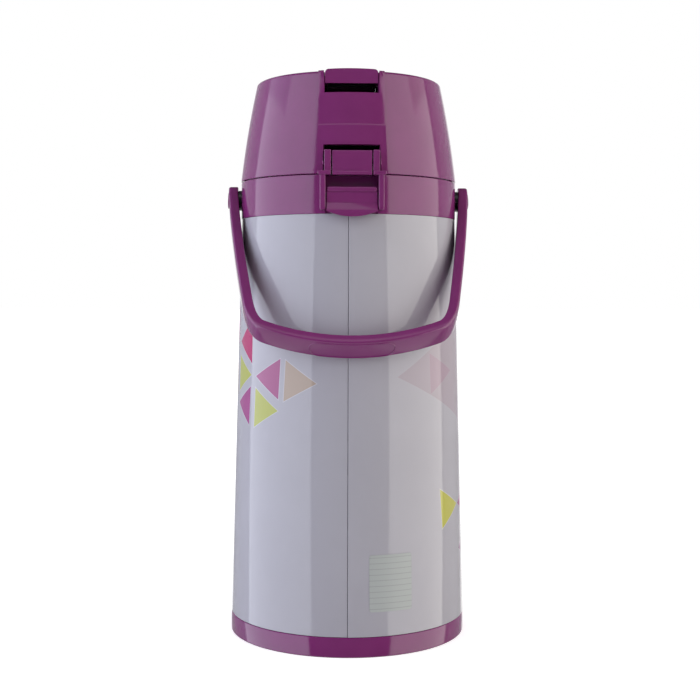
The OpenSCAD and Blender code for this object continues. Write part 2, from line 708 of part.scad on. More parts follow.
// One length of pipe bent through the stops of a path: [length, turn] pairs in the (Y, Z) plane.
module pipe_run(path, r, i = 0) {
    if (i < len(path)) {
        l = path[i][0];
        turn = path[i][1];
        cylinder(h = l, r = r);
        translate([0, 0, l]) {
            if (turn != 0) {
                s = turn > 0 ? 1 : -1;
                translate([0, -s*pipe_bend, 0]) rotate([0, 90, 0]) rotate([0, 0, s > 0 ? 90 : -90])
                    rotate([0, 0, s > 0 ? 0 : 0]) mirror([0, s > 0 ? 0 : 1, 0])
                        rotate_extrude(angle = 90) translate([pipe_bend, 0]) circle(r = r);
                translate([0, -s*pipe_bend, pipe_bend]) rotate([s*90, 0, 0])
                    pipe_run(path, r, i + 1);
            } else {
                pipe_run(path, r, i + 1);
            }
        }
    }
}

pipe_path = [[pipe_run_z - pipe_bend - stop_z, 1],
    [pipe_rise_y - tube_y - 2*pipe_bend, -1],
    [pipe_nose_z - pipe_run_z - 2*pipe_bend, 1],
    [nozzle_y - pipe_rise_y - 2*pipe_bend, 1],
    [pipe_tip, 0]];

module outlet_pipe() color([0.85, 0.85, 0.84])
    translate([0, -tube_y, stop_z]) difference() {
        pipe_run(pipe_path, pipe_r);
        pipe_run(pipe_path, pipe_bore/2);
    }

module spout_nozzle() color([0.2, 0.1, 0.19]) {
    pipe_end = pipe_nose_z - pipe_bend - pipe_tip;
    translate([0, -nozzle_y, 0]) rotate_extrude() polygon([
        [pipe_bore/2, nozzle_z], [pipe_r + 0.8, nozzle_z], [pipe_r + 2.3, nose_floor - 1.3],
        [pipe_r + 4.2, nose_floor - 1.3], [pipe_r + 4.2, nose_floor],
        [pipe_r + 2.3, nose_floor], [pipe_r + 2.3, socket_top],
        [pipe_r + slip, socket_top], [pipe_r + slip, pipe_end], [pipe_bore/2, pipe_end]]);
}

// ---------------------------------------------------------------- pump

module bellows() color([0.3, 0.3, 0.32]) {
    z0 = base_disc_top;
    h = cap_z - z0 - 3;
    wave = [for (i = [0:2*folds]) [bellows_r - (i % 2 == 0 ? fold : 0), z0 + 1.5 + h*i/(2*folds)]];
    rotate_extrude() polygon(concat([[bellows_r - fold - bellows_t, z0], [bellows_r, z0],
        [bellows_r, z0 + 1.2]], wave, [[bellows_r - 2, cap_z], [bellows_r - fold - bellows_t, cap_z]],
        flip([for (p = wave) [p[0] - bellows_t, p[1]]])));
}

// A round wire wound on a cylinder.
module coil(r, wire, z0, z1, turns, steps = 20, sides = 8) {
    n = turns*steps;
    pts = [for (i = [0:n], j = [0:sides - 1]) let (a = 360*i/steps, b = 360*j/sides,
        q = r + wire/2*cos(b)) [q*cos(a), q*sin(a), z0 + (z1 - z0)*i/n + wire/2*sin(b)]];
    faces = concat([[for (j = [0:sides - 1]) j]],
        [for (i = [0:n - 1], j = [0:sides - 1]) let (k = (j + 1) % sides)
            [i*sides + j, (i + 1)*sides + j, (i + 1)*sides + k, i*sides + k]],
        [[for (j = [sides - 1:-1:0]) n*sides + j]]);
    polyhedron(pts, faces);
}

module return_spring() color([0.7, 0.7, 0.72])
    coil(spring_r, spring_wire, base_disc_top + spring_wire/2 + 0.1, cap_z - spring_wire/2 - 0.1,
        spring_coils);

module bellows_cap() color([0.35, 0.2, 0.33]) difference() {
    union() {
        translate([0, 0, cap_z]) cylinder(h = cap_t, r = bellows_r - 2);
        translate([0, 0, cap_z + cap_t]) cylinder(h = push_z - hub_gap - cap_z - cap_t, r1 = hub_r,
            r2 = hub_r - 2);
    }
    translate([0, 0, cap_z - 1]) cylinder(h = push_z - cap_z - 4, r = hub_r - 4);
}

module lid_screw() color([0.7, 0.7, 0.72]) difference() {
    union() {
        translate([0, 0, base_disc_z - 1.6]) cylinder(h = 1.6, r = 3.6);
        translate([0, 0, base_disc_z - eps]) cylinder(h = 12, r = 1.7);
    }
    for (a = [0, 90]) rotate([0, 0, a]) translate([-2.2, -0.4, base_disc_z - 2]) cube([4.4, 0.8, 1.4]);
}

module spot(a) rotate([0, 0, a]) translate([screw_at, 0, 0]) children();
module lid_screw_rr() spot(screw_angle) lid_screw();
module lid_screw_rl() spot(screw_angle + 90) lid_screw();
module lid_screw_fl() spot(screw_angle + 180) lid_screw();
module lid_screw_fr() spot(screw_angle + 270) lid_screw();

// ---------------------------------------------------------------- press plate and lock

module plate_pin() color([0.75, 0.75, 0.77])
    x_rod(-channel_w/2 - lid_t, channel_w/2 + lid_t, plate_pin_d/2, plate_pin_y, plate_pin_z);

module plate_front_view(w, h, corner, crown) {
    polygon(concat([[-w/2, 0]], arc([-w/2 + corner, h - corner - crown], corner, 180, 100, 5),
        [for (i = [1:7]) let (u = -1 + i/4) [u*(w/2 - corner), h - crown*u*u]],
        arc([w/2 - corner, h - corner - crown], corner, 80, 0, 5), [[w/2, 0]]));
}

module press_plate() color([0.45, 0.21, 0.42]) difference() {
    union() {
        intersection() {
            translate([0, 0, plate_z]) along_y(-plate_front - 1, plate_rear)
                plate_front_view(plate_w, plate_h, 2.4, 0.5);
            translate([0, 0, plate_z - 1]) linear_extrude(plate_h + 2) union() {
                translate([-plate_w/2, -plate_front + 8]) square([plate_w, 140]);
                intersection() {
                    translate([-plate_w/2, -plate_front]) square([plate_w, 20]);
                    translate([0, -plate_front + 32]) circle(r = 32);
                }
            }
        }
    }
    difference() {
        block([-plate_w/2 + plate_t, -plate_front + 6, plate_z - 1],
            [plate_w/2 - plate_t, plate_rear - plate_t, plate_top - plate_t]);
        // the rib that pushes the bellows down
        block([-plate_w/2, -1.5, push_z], [plate_w/2, 1.5, plate_top]);
    }
    // shallower walls in front of the pin
    block([-plate_w, -90, plate_z - 1], [plate_w, plate_pin_y - 12, plate_top - skirt_front]);
    x_rod(-plate_w, plate_w, plate_pin_d/2 + run_fit, plate_pin_y, plate_pin_z);
}

module lock_slider() color([0.3, 0.14, 0.28]) {
    y0 = -channel_front - 18;
    seat = z_lid1 + band_top + 0.2;
    block([-8, y0, seat], [8, y0 + 12, seat + 1.4]);
    for (i = [0:3]) block([-7, y0 + 2 + 2.4*i, seat + 1.4 - eps], [7, y0 + 3 + 2.4*i, seat + 2.2]);
    block([-3.8, y0 + 2, plate_top - 11.2], [3.8, y0 + 10, seat + eps]);
    block([-3.8, y0 + 2, plate_top - 11.2], [3.8, -channel_front + 1.4, plate_top - 7.3]);
}

body_sleeve();
base_ring();
base_plug();
refill_cushion();
refill_outer();
refill_inner();
neck_gasket();
collar();
tube_holder();
dip_tube();
tube_seal();
rating_label();
pivot_spacer_l();
pivot_spacer_r();
pivot_screw_l();
pivot_screw_r();
hinge_pin();
lever_pin();
lever_spring();
release_lever();
handle();
lid_shell();
lid_base();
stopper();
stopper_gasket();
air_valve();
outlet_pipe();
spout_nozzle();
bellows();
return_spring();
bellows_cap();
lid_screw_fl();
lid_screw_fr();
lid_screw_rl();
lid_screw_rr();
plate_pin();
press_plate();
lock_slider();
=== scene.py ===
# %% [markdown]
# # A pump pot, dressed
# A pump pot is a glass-lined jug. Pressing the plate on its lid squeezes a bellows, and air
# pushes hot water out of the spout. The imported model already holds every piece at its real
# size and place. Each cell below gives one piece its look. Lengths are written in
# millimetres, and `mm` turns them into Blender's metres.

# %% The fixed frame
import bmesh, bpy, math
from mathutils import Matrix, Vector


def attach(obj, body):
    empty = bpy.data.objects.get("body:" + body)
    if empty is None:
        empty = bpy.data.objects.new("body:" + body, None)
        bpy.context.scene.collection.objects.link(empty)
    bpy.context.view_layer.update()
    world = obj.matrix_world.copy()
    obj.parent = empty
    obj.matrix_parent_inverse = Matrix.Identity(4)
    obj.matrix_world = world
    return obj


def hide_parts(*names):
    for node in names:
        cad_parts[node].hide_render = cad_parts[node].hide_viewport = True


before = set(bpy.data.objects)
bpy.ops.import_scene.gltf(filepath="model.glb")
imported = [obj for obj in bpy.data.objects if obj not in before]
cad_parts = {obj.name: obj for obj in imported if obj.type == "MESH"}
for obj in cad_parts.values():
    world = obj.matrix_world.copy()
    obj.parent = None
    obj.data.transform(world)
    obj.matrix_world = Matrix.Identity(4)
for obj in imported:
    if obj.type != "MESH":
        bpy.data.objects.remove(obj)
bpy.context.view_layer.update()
mm = 0.001

# %% [markdown]
# ## The camera
# The pot is seen from behind, at a little over half its height, from 0.83 m. The lens looks
# level, so upright edges stay upright, and the shift slides the frame down to take in the
# foot, as a view camera does. Tilting the lens would take in the foot too, but the pot's
# sides would then lean.

# %% Camera
eye = bpy.data.cameras.new("eye")
eye.lens, eye.sensor_width = 63.28, 36
eye.shift_x, eye.shift_y = 0.0028, -0.0765
camera = bpy.data.objects.new("eye", eye)
bpy.context.scene.collection.objects.link(camera)
camera.location = (0.0262, 0.8345, 0.2228)
bearing, upright_lens, roll = math.radians(178.2), math.radians(90), math.radians(0.17)
camera.rotation_euler = (Matrix.Rotation(bearing, 3, "Z") @ Matrix.Rotation(upright_lens, 3, "X")
    @ Matrix.Rotation(roll, 3, "Z")).to_euler()
bpy.context.scene.camera = camera
print("lens", eye.lens, "mm at", tuple(round(c, 3) for c in camera.location))

# %% [markdown]
# ## Helpers for turned and moulded pieces
# Most of the pot is round, so most pieces begin as a half outline that is spun about the
# middle. `turned` does that with the spin operator. `keep` makes an object from a finished
# bmesh: it points the faces outwards, shades the soft turns smooth and the hard ones sharp,
# and hands the piece to the body that carries it.

# %% Helper: spin an outline
def outline(bm, points, closed=True):
    """Join points, each (from the middle, up) in mm, by edges that stand in the XZ plane."""
    verts = [bm.verts.new((r*mm, 0, z*mm)) for r, z in points]
    ends = verts[1:] + verts[:1] if closed else verts[1:]
    return verts + [bm.edges.new(pair) for pair in zip(verts, ends)]


def turned(points, closed=True, steps=256):
    """Spin an outline once round the middle and join the last step to the first."""
    bm = bmesh.new()
    bmesh.ops.spin(bm, geom=outline(bm, points, closed), cent=(0, 0, 0), axis=(0, 0, 1),
        angle=math.tau, steps=steps, use_merge=True, use_duplicate=False)
    bmesh.ops.remove_doubles(bm, verts=bm.verts[:], dist=1e-6)
    return bm


def arc(centre_r, centre_z, radius, start, stop, count):
    """Points on a part of a circle, between two angles in degrees."""
    turns = [math.radians(start + (stop - start)*i/count) for i in range(count + 1)]
    return [(centre_r + radius*math.cos(t), centre_z + radius*math.sin(t)) for t in turns]


print("spinning ready")

# %% Helper: keep a finished mesh
def keep(bm, name, body, finish, stands_for=(), wall=0, edge=0, sharp=35, turn_out=True):
    """Make an object of bm. wall adds a thickness inwards and edge rounds the corners, in mm."""
    if turn_out:
        bmesh.ops.recalc_face_normals(bm, faces=bm.faces[:])
    if wall:
        bmesh.ops.solidify(bm, geom=bm.faces[:], thickness=wall*mm)
        bmesh.ops.recalc_face_normals(bm, faces=bm.faces[:])
    for face in bm.faces:
        face.smooth = True
    mesh = bpy.data.meshes.new(name)
    bm.to_mesh(mesh)
    bm.free()
    mesh.set_sharp_from_angle(angle=math.radians(sharp))
    piece = bpy.data.objects.new(name, mesh)
    bpy.context.scene.collection.objects.link(piece)
    if edge:
        soft = piece.modifiers.new("edge", "BEVEL")
        soft.width, soft.segments, soft.limit_method = edge*mm, 3, "ANGLE"
        soft.angle_limit, soft.harden_normals = math.radians(sharp), True
    finishes = finish if isinstance(finish, (list, tuple)) else [finish]
    for one in finishes:
        mesh.materials.append(one)
    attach(piece, body)
    if stands_for:
        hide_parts(*stands_for)
    print(name, "has", len(mesh.polygons), "faces")
    return piece


print("keeping ready")

# %% [markdown]
# The other helpers serve cut and square pieces. `softened` copies a node of the frame, joins
# its loose triangles and rounds its edges with a Bevel modifier. `block` adds a small box and
# rounds it with the bevel operator. A plain box would be simpler, but real plastic has no
# knife edges, and it is the rounding that catches the light.

# %% Helper: soften a node's edges
def softened(node, body, finish, edge=0.4, sharp=35):
    """A copy of a frame node with its loose triangles joined and its corners rounded."""
    bm = bmesh.new()
    bm.from_mesh(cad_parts[node].data)
    bmesh.ops.remove_doubles(bm, verts=bm.verts[:], dist=2e-6)
    bmesh.ops.dissolve_limit(bm, angle_limit=math.radians(0.5), verts=bm.verts[:],
        edges=bm.edges[:])
    return keep(bm, "soft_" + node, body, finish, (node,), edge=edge, sharp=sharp, turn_out=False)


print("softening ready")

# %% Helpers: close, round and add a block
def close_ends(bm):
    """Fill every open end of a mesh with one face."""
    bmesh.ops.holes_fill(bm, edges=[edge for edge in bm.edges if edge.is_boundary], sides=0)


def rounding(bm, parts, offset, segments, affect="EDGES"):
    """Round edges, or corners if affect says VERTICES, by an offset in mm."""
    return bmesh.ops.bevel(bm, geom=parts, offset=offset*mm, offset_type="OFFSET",
        segments=segments, profile=0.5, affect=affect, clamp_overlap=True, material=-1)


def block(bm, low, high, soft=0.4, segments=3):
    """Add a box between two corners (mm) to bm, round its edges and return its first corners."""
    made = bmesh.ops.create_cube(bm, size=1)["verts"]
    size = [(b - a)*mm for a, b in zip(low, high)]
    middle = [(a + b)/2*mm for a, b in zip(low, high)]
    bmesh.ops.scale(bm, vec=size, verts=made)
    bmesh.ops.translate(bm, vec=middle, verts=made)
    if soft:
        rounding(bm, list({edge for vert in made for edge in vert.link_edges}), soft, segments)
    return made


print("closing, rounding and blocks ready")

# %% [markdown]
# ## Finishes
# Every finish is built from nodes, with no image. A noise that barely changes the colour and
# the roughness keeps a surface from looking computed, and a fine bump gives it the faint
# unevenness of real moulding or lacquer. Values that are the same all over are typed
# straight into the shader.

# %% Helper: start a finish
def finish_nodes(name, **values):
    """A new finish: its material, nodes, links, shader and place on the piece."""
    made = bpy.data.materials.new(name)
    made.use_nodes = True
    shader = made.node_tree.nodes["Principled BSDF"]
    for socket, value in values.items():
        shader.inputs[socket.replace("_", " ")].default_value = value
    where = made.node_tree.nodes.new("ShaderNodeTexCoord")
    return made, made.node_tree.nodes, made.node_tree.links, shader, where.outputs["Object"]


def noise(nodes, links, place, scale, detail=3.0, stretch=(1, 1, 1)):
    """A noise through the piece. A small stretch draws it out along that axis."""
    spread = nodes.new("ShaderNodeMapping")
    spread.inputs["Scale"].default_value = stretch
    links.new(place, spread.inputs["Vector"])
    made = nodes.new("ShaderNodeTexNoise")
    made.inputs["Scale"].default_value = scale
    made.inputs["Detail"].default_value = detail
    links.new(spread.outputs["Vector"], made.inputs["Vector"])
    return made.outputs["Fac"]


def between(nodes, links, factor, low, high):
    """Spread a noise's middle values over low to high."""
    made = nodes.new("ShaderNodeMapRange")
    for socket, value in (("From Min", 0.3), ("From Max", 0.7), ("To Min", low), ("To Max", high)):
        made.inputs[socket].default_value = value
    links.new(factor, made.inputs["Value"])
    return made.outputs["Result"]


def tint(nodes, links, factor, colour_a, colour_b):
    """Mix two colours by a factor from 0 to 1."""
    made = nodes.new("ShaderNodeMix")
    made.data_type = "RGBA"
    made.inputs["A"].default_value = (*colour_a, 1)
    made.inputs["B"].default_value = (*colour_b, 1)
    links.new(factor, made.inputs["Factor"])
    return made.outputs["Result"]


def bump(nodes, links, height, shader, depth):
    """Tilt the shading as if the surface rose and fell by depth, in mm."""
    made = nodes.new("ShaderNodeBump")
    made.inputs["Strength"].default_value = 1.0
    made.inputs["Distance"].default_value = depth*mm
    links.new(height, made.inputs["Height"])
    links.new(made.outputs["Normal"], shader.inputs["Normal"])


print("finish helpers ready")

# %% [markdown]
# The lid, collar, base and handle are one moulded plastic: polypropylene coloured through
# and polished by its mould. Its gloss is sharp but a touch milky. One flat colour would do
# from afar. Close up it takes the small changes of colour and gloss to look moulded.

# %% Moulded plastics
def moulded(name, colour, rough=(0.07, 0.12), shade=0.9, grain=0.012):
    made, nodes, links, shader, place = finish_nodes(name, IOR=1.47)
    clouds = noise(nodes, links, place, 45)
    links.new(tint(nodes, links, between(nodes, links, clouds, 0, 1),
        [c*shade for c in colour], colour), shader.inputs["Base Color"])
    streaks = noise(nodes, links, place, 160, 4, (1, 1, 0.35))
    links.new(between(nodes, links, streaks, *rough), shader.inputs["Roughness"])
    bump(nodes, links, noise(nodes, links, place, 900, 2), shader, grain)
    return made


purple = moulded("moulded_purple", (0.228, 0.031, 0.166))
# A darker copy of the purple, painted shade for small parts that sit in shade.
dark_purple = moulded("shaded_purple", (0.13, 0.022, 0.10), rough=(0.16, 0.24))
# A black that paints shade: it stands for the shade in the seam's gap and on the pivot spacers.
black_plastic = moulded("black_plastic", (0.012, 0.011, 0.014), rough=(0.2, 0.32), shade=0.7)
white_plastic = moulded("natural_white", (0.72, 0.71, 0.68), rough=(0.24, 0.36), shade=0.95)
grey_rubber = moulded("grey_rubber", (0.085, 0.085, 0.09), rough=(0.5, 0.65), shade=0.8, grain=0.02)
print("plastics:", purple.name, dark_purple.name, black_plastic.name, white_plastic.name)

# %% [markdown]
# Screws and springs are bright steel with fine turning marks. The pins are a darkened steel,
# painted shade for the narrow gaps round them. The refill is two glasses with silver on the
# hidden faces between them, so the inner one shows as clear glass and the outer one as a
# mirror. The silver could be a thin skin of its own, but it would show no more than one finish
# for each glass does.

# %% Steel and glass
def metal(name, colour, rough):
    made, nodes, links, shader, place = finish_nodes(name, Metallic=1.0)
    shader.inputs["Base Color"].default_value = (*colour, 1)
    marks = noise(nodes, links, place, 300, 3, (8, 1, 1))
    links.new(between(nodes, links, marks, *rough), shader.inputs["Roughness"])
    bump(nodes, links, marks, shader, 0.01)
    return made


steel = metal("bright_steel", (0.62, 0.62, 0.64), (0.14, 0.3))
# A darkened steel for the pins, painted shade in the narrow gaps round them.
shade_dark_steel = metal("shade_darkened_steel", (0.05, 0.045, 0.05), (0.3, 0.45))
silvered_glass = metal("silvered_glass", (0.86, 0.86, 0.88), (0.02, 0.07))
clear_glass, glass_nodes, glass_links, glass_shader, glass_place = finish_nodes(
    "clear_glass", IOR=1.5, Transmission_Weight=0.85)
glass_shader.inputs["Base Color"].default_value = (0.93, 0.96, 0.95, 1)
glass_links.new(between(glass_nodes, glass_links,
    noise(glass_nodes, glass_links, glass_place, 20), 0.01, 0.05), glass_shader.inputs["Roughness"])
print("steel, silvered glass and clear glass")

# %% [markdown]
# ## The printed sheet
# The body is a steel sheet, lacquered pale lilac, rolled up and lapped in a seam. It is
# printed with loose clusters of plain triangles. Each triangle is tested on the sheet laid
# flat: how far round a point is, in millimetres, and how high. Three dot products say on
# which side of the three edges the point lies, and the smallest of them is above zero only
# inside. The same number gives the white outline just outside the colour. An image would be
# quicker to use, but it goes coarse close up, and this print stays sharp at any distance.

# %% Laying the sheet flat
lacquer, nodes, links, lacquer_shader, place = finish_nodes("lacquered_sheet", IOR=1.42)
print_r = 75.0


def number(operation, a, b=None):
    """A sum on numbers or sockets, as a node among the nodes in hand."""
    made = nodes.new("ShaderNodeMath")
    made.operation = operation
    for socket, value in zip(made.inputs, (a, b)):
        if isinstance(value, (int, float)):
            socket.default_value = value
        elif value is not None:
            links.new(value, socket)
    return made.outputs[0]


split = nodes.new("ShaderNodeSeparateXYZ")
links.new(place, split.inputs[0])
x, y, z = split.outputs


def flat_sheet(side):
    """Round the pot and up it in mm, measured from behind (1) or from the front (-1)."""
    made = nodes.new("ShaderNodeCombineXYZ")
    across = number("ARCTAN2", number("MULTIPLY", x, -side), number("MULTIPLY", y, side))
    links.new(number("MULTIPLY", across, print_r), made.inputs[0])
    links.new(number("MULTIPLY", z, 1/mm), made.inputs[1])
    made.inputs[2].default_value = 1.0
    return made.outputs[0]


sheet_behind, sheet_front = flat_sheet(1), flat_sheet(-1)
print("sheet laid flat")

# %% Painting a triangle
white_line, hair_line, print_blur = 0.36, 0.01, 0.1
white_ink = (0.62, 0.62, 0.68)


def triangle(sheet, corners, colour, under, line=white_line):
    """Paint one triangle over the colour `under`. Corners are (degrees round, mm up)."""
    points = [Vector((math.radians(a)*print_r, h)) for a, h in corners]
    middle = sum(points, Vector((0, 0)))/3
    sides = []
    for a, b in zip(points, points[1:] + points[:1]):
        across = Vector((-(b - a).y, (b - a).x)).normalized()
        if across.dot(middle - a) < 0:
            across = -across
        test = nodes.new("ShaderNodeVectorMath")
        test.operation = "DOT_PRODUCT"
        links.new(sheet, test.inputs[0])
        test.inputs[1].default_value = (across.x, across.y, -across.dot(a))
        sides.append(test.outputs["Value"])
    inside = number("MINIMUM", number("MINIMUM", sides[0], sides[1]), sides[2])
    for reach, paint in ((-line, white_ink), (0, colour)):
        soft = nodes.new("ShaderNodeMapRange")
        soft.inputs["From Min"].default_value = reach - print_blur
        soft.inputs["From Max"].default_value = reach + print_blur
        links.new(inside, soft.inputs["Value"])
        mix = nodes.new("ShaderNodeMix")
        mix.data_type = "RGBA"
        links.new(soft.outputs["Result"], mix.inputs["Factor"])
        links.new(under, mix.inputs["A"])
        mix.inputs["B"].default_value = (*paint, 1)
        under = mix.outputs["Result"]
    return under


print("a triangle takes 3 dot products")

# %% The print
crimson, rose, peach = (0.49, 0.042, 0.165), (0.403, 0.108, 0.262), (0.487, 0.388, 0.322)
yellow, magenta = (0.475, 0.497, 0.12), (0.385, 0.075, 0.262)
pale_mauve, pink = (0.449, 0.392, 0.448), (0.447, 0.34, 0.41)
lemon, deep_mauve = (0.55, 0.535, 0.11), (0.36, 0.2, 0.33)
behind = [
    ([(22.8, 172.5), (75.1, 216.0), (75.0, 141.5)], pale_mauve),
    ([(42.7, 187.0), (62.2, 175.0), (43.2, 160.7)], pink),
    ([(-73.9, 193.1), (-58.6, 208.4), (-58.3, 179.2)], crimson),
    ([(-74.6, 184.5), (-58.7, 172.0), (-75.3, 160.2)], yellow),
    ([(-54.4, 171.5), (-36.8, 183.5), (-37.8, 157.7)], rose),
    ([(-33.7, 182.8), (-16.9, 168.5), (-34.7, 156.6)], peach),
    ([(-74.8, 153.1), (-59.2, 164.6), (-60.1, 139.6)], magenta),
    ([(-54.6, 164.2), (-38.0, 150.5), (-55.3, 138.7)], yellow),
    ([(49.3, 99.6), (67.7, 87.5), (50.9, 74.1)], lemon),
    ([(69.6, 87.0), (89.4, 100.5), (89.4, 74.0)], magenta),
    ([(70.2, 57.5), (91.6, 71.5), (91.6, 43.5)], deep_mauve),
    ([(-96.0, 169.0), (-79.2, 180.4), (-79.7, 156.5)], peach),
    ([(-95.0, 204.5), (-78.8, 216.0), (-78.8, 190.5)], rose),
    ([(93.4, 87.0), (110.4, 99.5), (110.4, 74.5)], rose),
]
in_front = [
    ([(-62, 128), (-44, 141), (-44, 115)], magenta), ([(-40, 141), (-22, 128), (-40, 115)], yellow),
    ([(-40, 110), (-22, 123), (-22, 97)], peach), ([(-18, 123), (0, 110), (-18, 97)], crimson),
    ([(-18, 92), (0, 105), (0, 79)], rose), ([(4, 105), (22, 92), (4, 79)], yellow),
    ([(26, 150), (62, 180), (62, 122)], pale_mauve), ([(40, 92), (58, 105), (58, 79)], magenta),
    ([(-58, 88), (-40, 75), (-58, 62)], pale_mauve), ([(8, 64), (26, 77), (26, 51)], crimson),
]
lilac, pale_lilac = (0.465, 0.452, 0.505), (0.485, 0.472, 0.525)
mottle = between(nodes, links, noise(nodes, links, place, 30), 0, 1)
painted = tint(nodes, links, mottle, lilac, pale_lilac)
for corners, colour in behind:
    line = hair_line if colour in (pale_mauve, pink) else white_line
    painted = triangle(sheet_behind, corners, colour, painted, line)
for corners, colour in in_front:
    painted = triangle(sheet_front, corners, colour, painted)
links.new(painted, lacquer_shader.inputs["Base Color"])
gloss = between(nodes, links, noise(nodes, links, place, 120), 0.05, 0.08)
links.new(gloss, lacquer_shader.inputs["Roughness"])
bump(nodes, links, noise(nodes, links, place, 420, 2), lacquer_shader, 0.012)
print(len(behind) + len(in_front), "triangles printed")

# %% [markdown]
# ## The body sleeve
# The sheet is rolled into a cone and its end laps over its start behind, a little off the
# middle. An outline of the sheet's thickness is spun once round without closing it. Then the
# turn is drawn out into a slight spiral, so one end stands proud of the other, with a hair of
# a gap between them. A black strip behind the gap paints the shade in it. A painted line would
# be quicker, but a real lap also catches the light along its edge.

# %% Sleeve
foot_r, head_r, foot_z, head_z = 77.7, 71.75, 12.8, 274.2
sheet_t, lap, seam, seam_gap = 0.8, 0.35, math.radians(88.5), math.radians(0.22)
bm = bmesh.new()
sheet = outline(bm, [(foot_r - sheet_t, foot_z + 0.1), (foot_r - 0.1, foot_z + 0.1),
    (foot_r, foot_z + 0.4), (head_r, head_z - 0.3), (head_r - 0.1, head_z - 0.05),
    (head_r - sheet_t, head_z - 0.05)])
bmesh.ops.rotate(bm, cent=(0, 0, 0), matrix=Matrix.Rotation(seam, 3, "Z"), verts=bm.verts[:])
last = bmesh.ops.spin(bm, geom=sheet, cent=(0, 0, 0), axis=(0, 0, 1), angle=math.tau, steps=256,
    use_merge=False, use_duplicate=False)["geom_last"]
last_ring = {part for part in last if isinstance(part, bmesh.types.BMVert)}
for vert in bm.verts:
    turn = 1.0 if vert in last_ring else ((math.atan2(vert.co.y, vert.co.x) - seam) % math.tau)/math.tau
    turn = 0.0 if turn > 0.9999 and vert not in last_ring else turn
    proud = 1 + lap*mm*(1 - turn)/vert.co.xy.length
    short = -seam_gap if vert in last_ring else 0.0
    vert.co = Matrix.Rotation(short, 3, "Z") @ Vector((vert.co.x*proud, vert.co.y*proud, vert.co.z))
close_ends(bm)
upright, outer_r = 200*mm, (foot_r + head_r)/2*mm - 0.2*mm
ends = [edge for edge in bm.edges if edge.calc_length() > upright and edge.calc_face_angle(0) > 1
    and (edge.verts[0].co.xy.length + edge.verts[1].co.xy.length)/2 > outer_r]
rounding(bm, ends, 0.5, 4)
print(len(ends), "seam edges rounded")
sleeve = keep(bm, "printed_sleeve", "body", lacquer, ("body_sleeve",))

# %% Painted shade strip behind the seam
strip_start, strip_span = math.radians(86.7), math.radians(3.6)
bm = bmesh.new()
strip = outline(bm, [(foot_r - 0.75, foot_z + 0.5), (foot_r - 0.45, foot_z + 0.5),
    (head_r - 0.45, head_z - 0.5), (head_r - 0.75, head_z - 0.5)])
bmesh.ops.rotate(bm, cent=(0, 0, 0), matrix=Matrix.Rotation(strip_start, 3, "Z"), verts=bm.verts[:])
bmesh.ops.spin(bm, geom=strip, cent=(0, 0, 0), axis=(0, 0, 1), angle=strip_span, steps=6,
    use_merge=False, use_duplicate=False)
close_ends(bm)
# Black, as painted shade in the gap of the lap.
seam_shade_strip = keep(bm, "seam_shade_strip", "body", black_plastic)

# %% [markdown]
# ## The base ring
# A moulded ring closes the foot. Its outline has a soft lower edge to stand on and a shoulder
# for the sheet to rest on, with a hidden wall behind the sheet. A spin of the outline is
# enough, because nothing is cut away. The plug inside it keeps the frame's shape.

# %% Base ring
underside = [(32.1, 5), (70.9, 5), (71.7, 4.4), (71.7, 0.5), (72.2, 0)]
standing_edge = arc(76.8, 1.2, 1.2, -90, 0, 6)
outside = [(77.98, 8), (77.82, 11.9), (77.74, 12.3), (77.4, 12.6), (76.8, 12.65)]
behind_sheet = [(76.8, 13.2), (76.6, 20.8), (73.8, 20.8), (73.8, 8), (35.1, 8), (35.1, 12), (32.1, 12)]
base = keep(turned(underside + standing_edge + outside + behind_sheet),
    "base_ring_moulding", "body", purple, ("base_ring",))
# The plug takes the darker purple, painted shade under the base.
plug = softened("base_plug", "body", dark_purple, edge=0.5)

# %% [markdown]
# ## The collar
# The collar carries the glass, the handle and the lid's hinge. Its deck is spun as one ring.
# Its outer wall is spun too, then cut at two upright planes behind, where a recess for the
# release lever opens, and the cut ends are closed. Spinning only part of a turn would be
# quicker, but its ends would point at the middle and not straight back.

# %% Collar deck
deck_top, deck_low, deck_skirt = 284.4, 281.4, 266.3
deck = keep(turned([(30, deck_top), (30, deck_top - 1.5), (28, deck_top - 1.5), (28, deck_low),
    (64.8, deck_low), (67.8, deck_skirt), (70.8, deck_skirt), (70.8, 274.9), (69.3, deck_top)]),
    "collar_deck", "body", purple, ("collar",))

# %% Collar wall
recess_half = 16.4
bm = turned([(71.95, 274.25), (72.12, 274.6), (72.16, 276), (72.2, 298.0), (72.1, 298.5), (71.7, 298.8),
    (69.3, 298.8), (68.8, 283), (68.8, 274.25)])
for side in (-1, 1):
    back = [face for face in bm.faces if face.calc_center_median().y > 0]
    near = list({part for face in back for part in (*face.verts, *face.edges)}) + back
    bmesh.ops.bisect_plane(bm, geom=near, dist=1e-7, plane_co=(side*recess_half*mm, 0, 0),
        plane_no=(1, 0, 0))
bmesh.ops.delete(bm, geom=[face for face in bm.faces if face.calc_center_median().y > 0
    and abs(face.calc_center_median().x) < recess_half*mm], context="FACES")
close_ends(bm)
wall = keep(bm, "collar_wall", "body", purple, edge=0.25)

# %% [markdown]
# The recess has a back wall, two upright ribs with small caps, and the ears that hold the
# hinge pin. They could be extruded from drawn outlines. Blocks with rounded corners give the
# same with less to draw: a larger rounding on two edges makes the ribs end in a half round
# and the ears end in an arch round the pin.

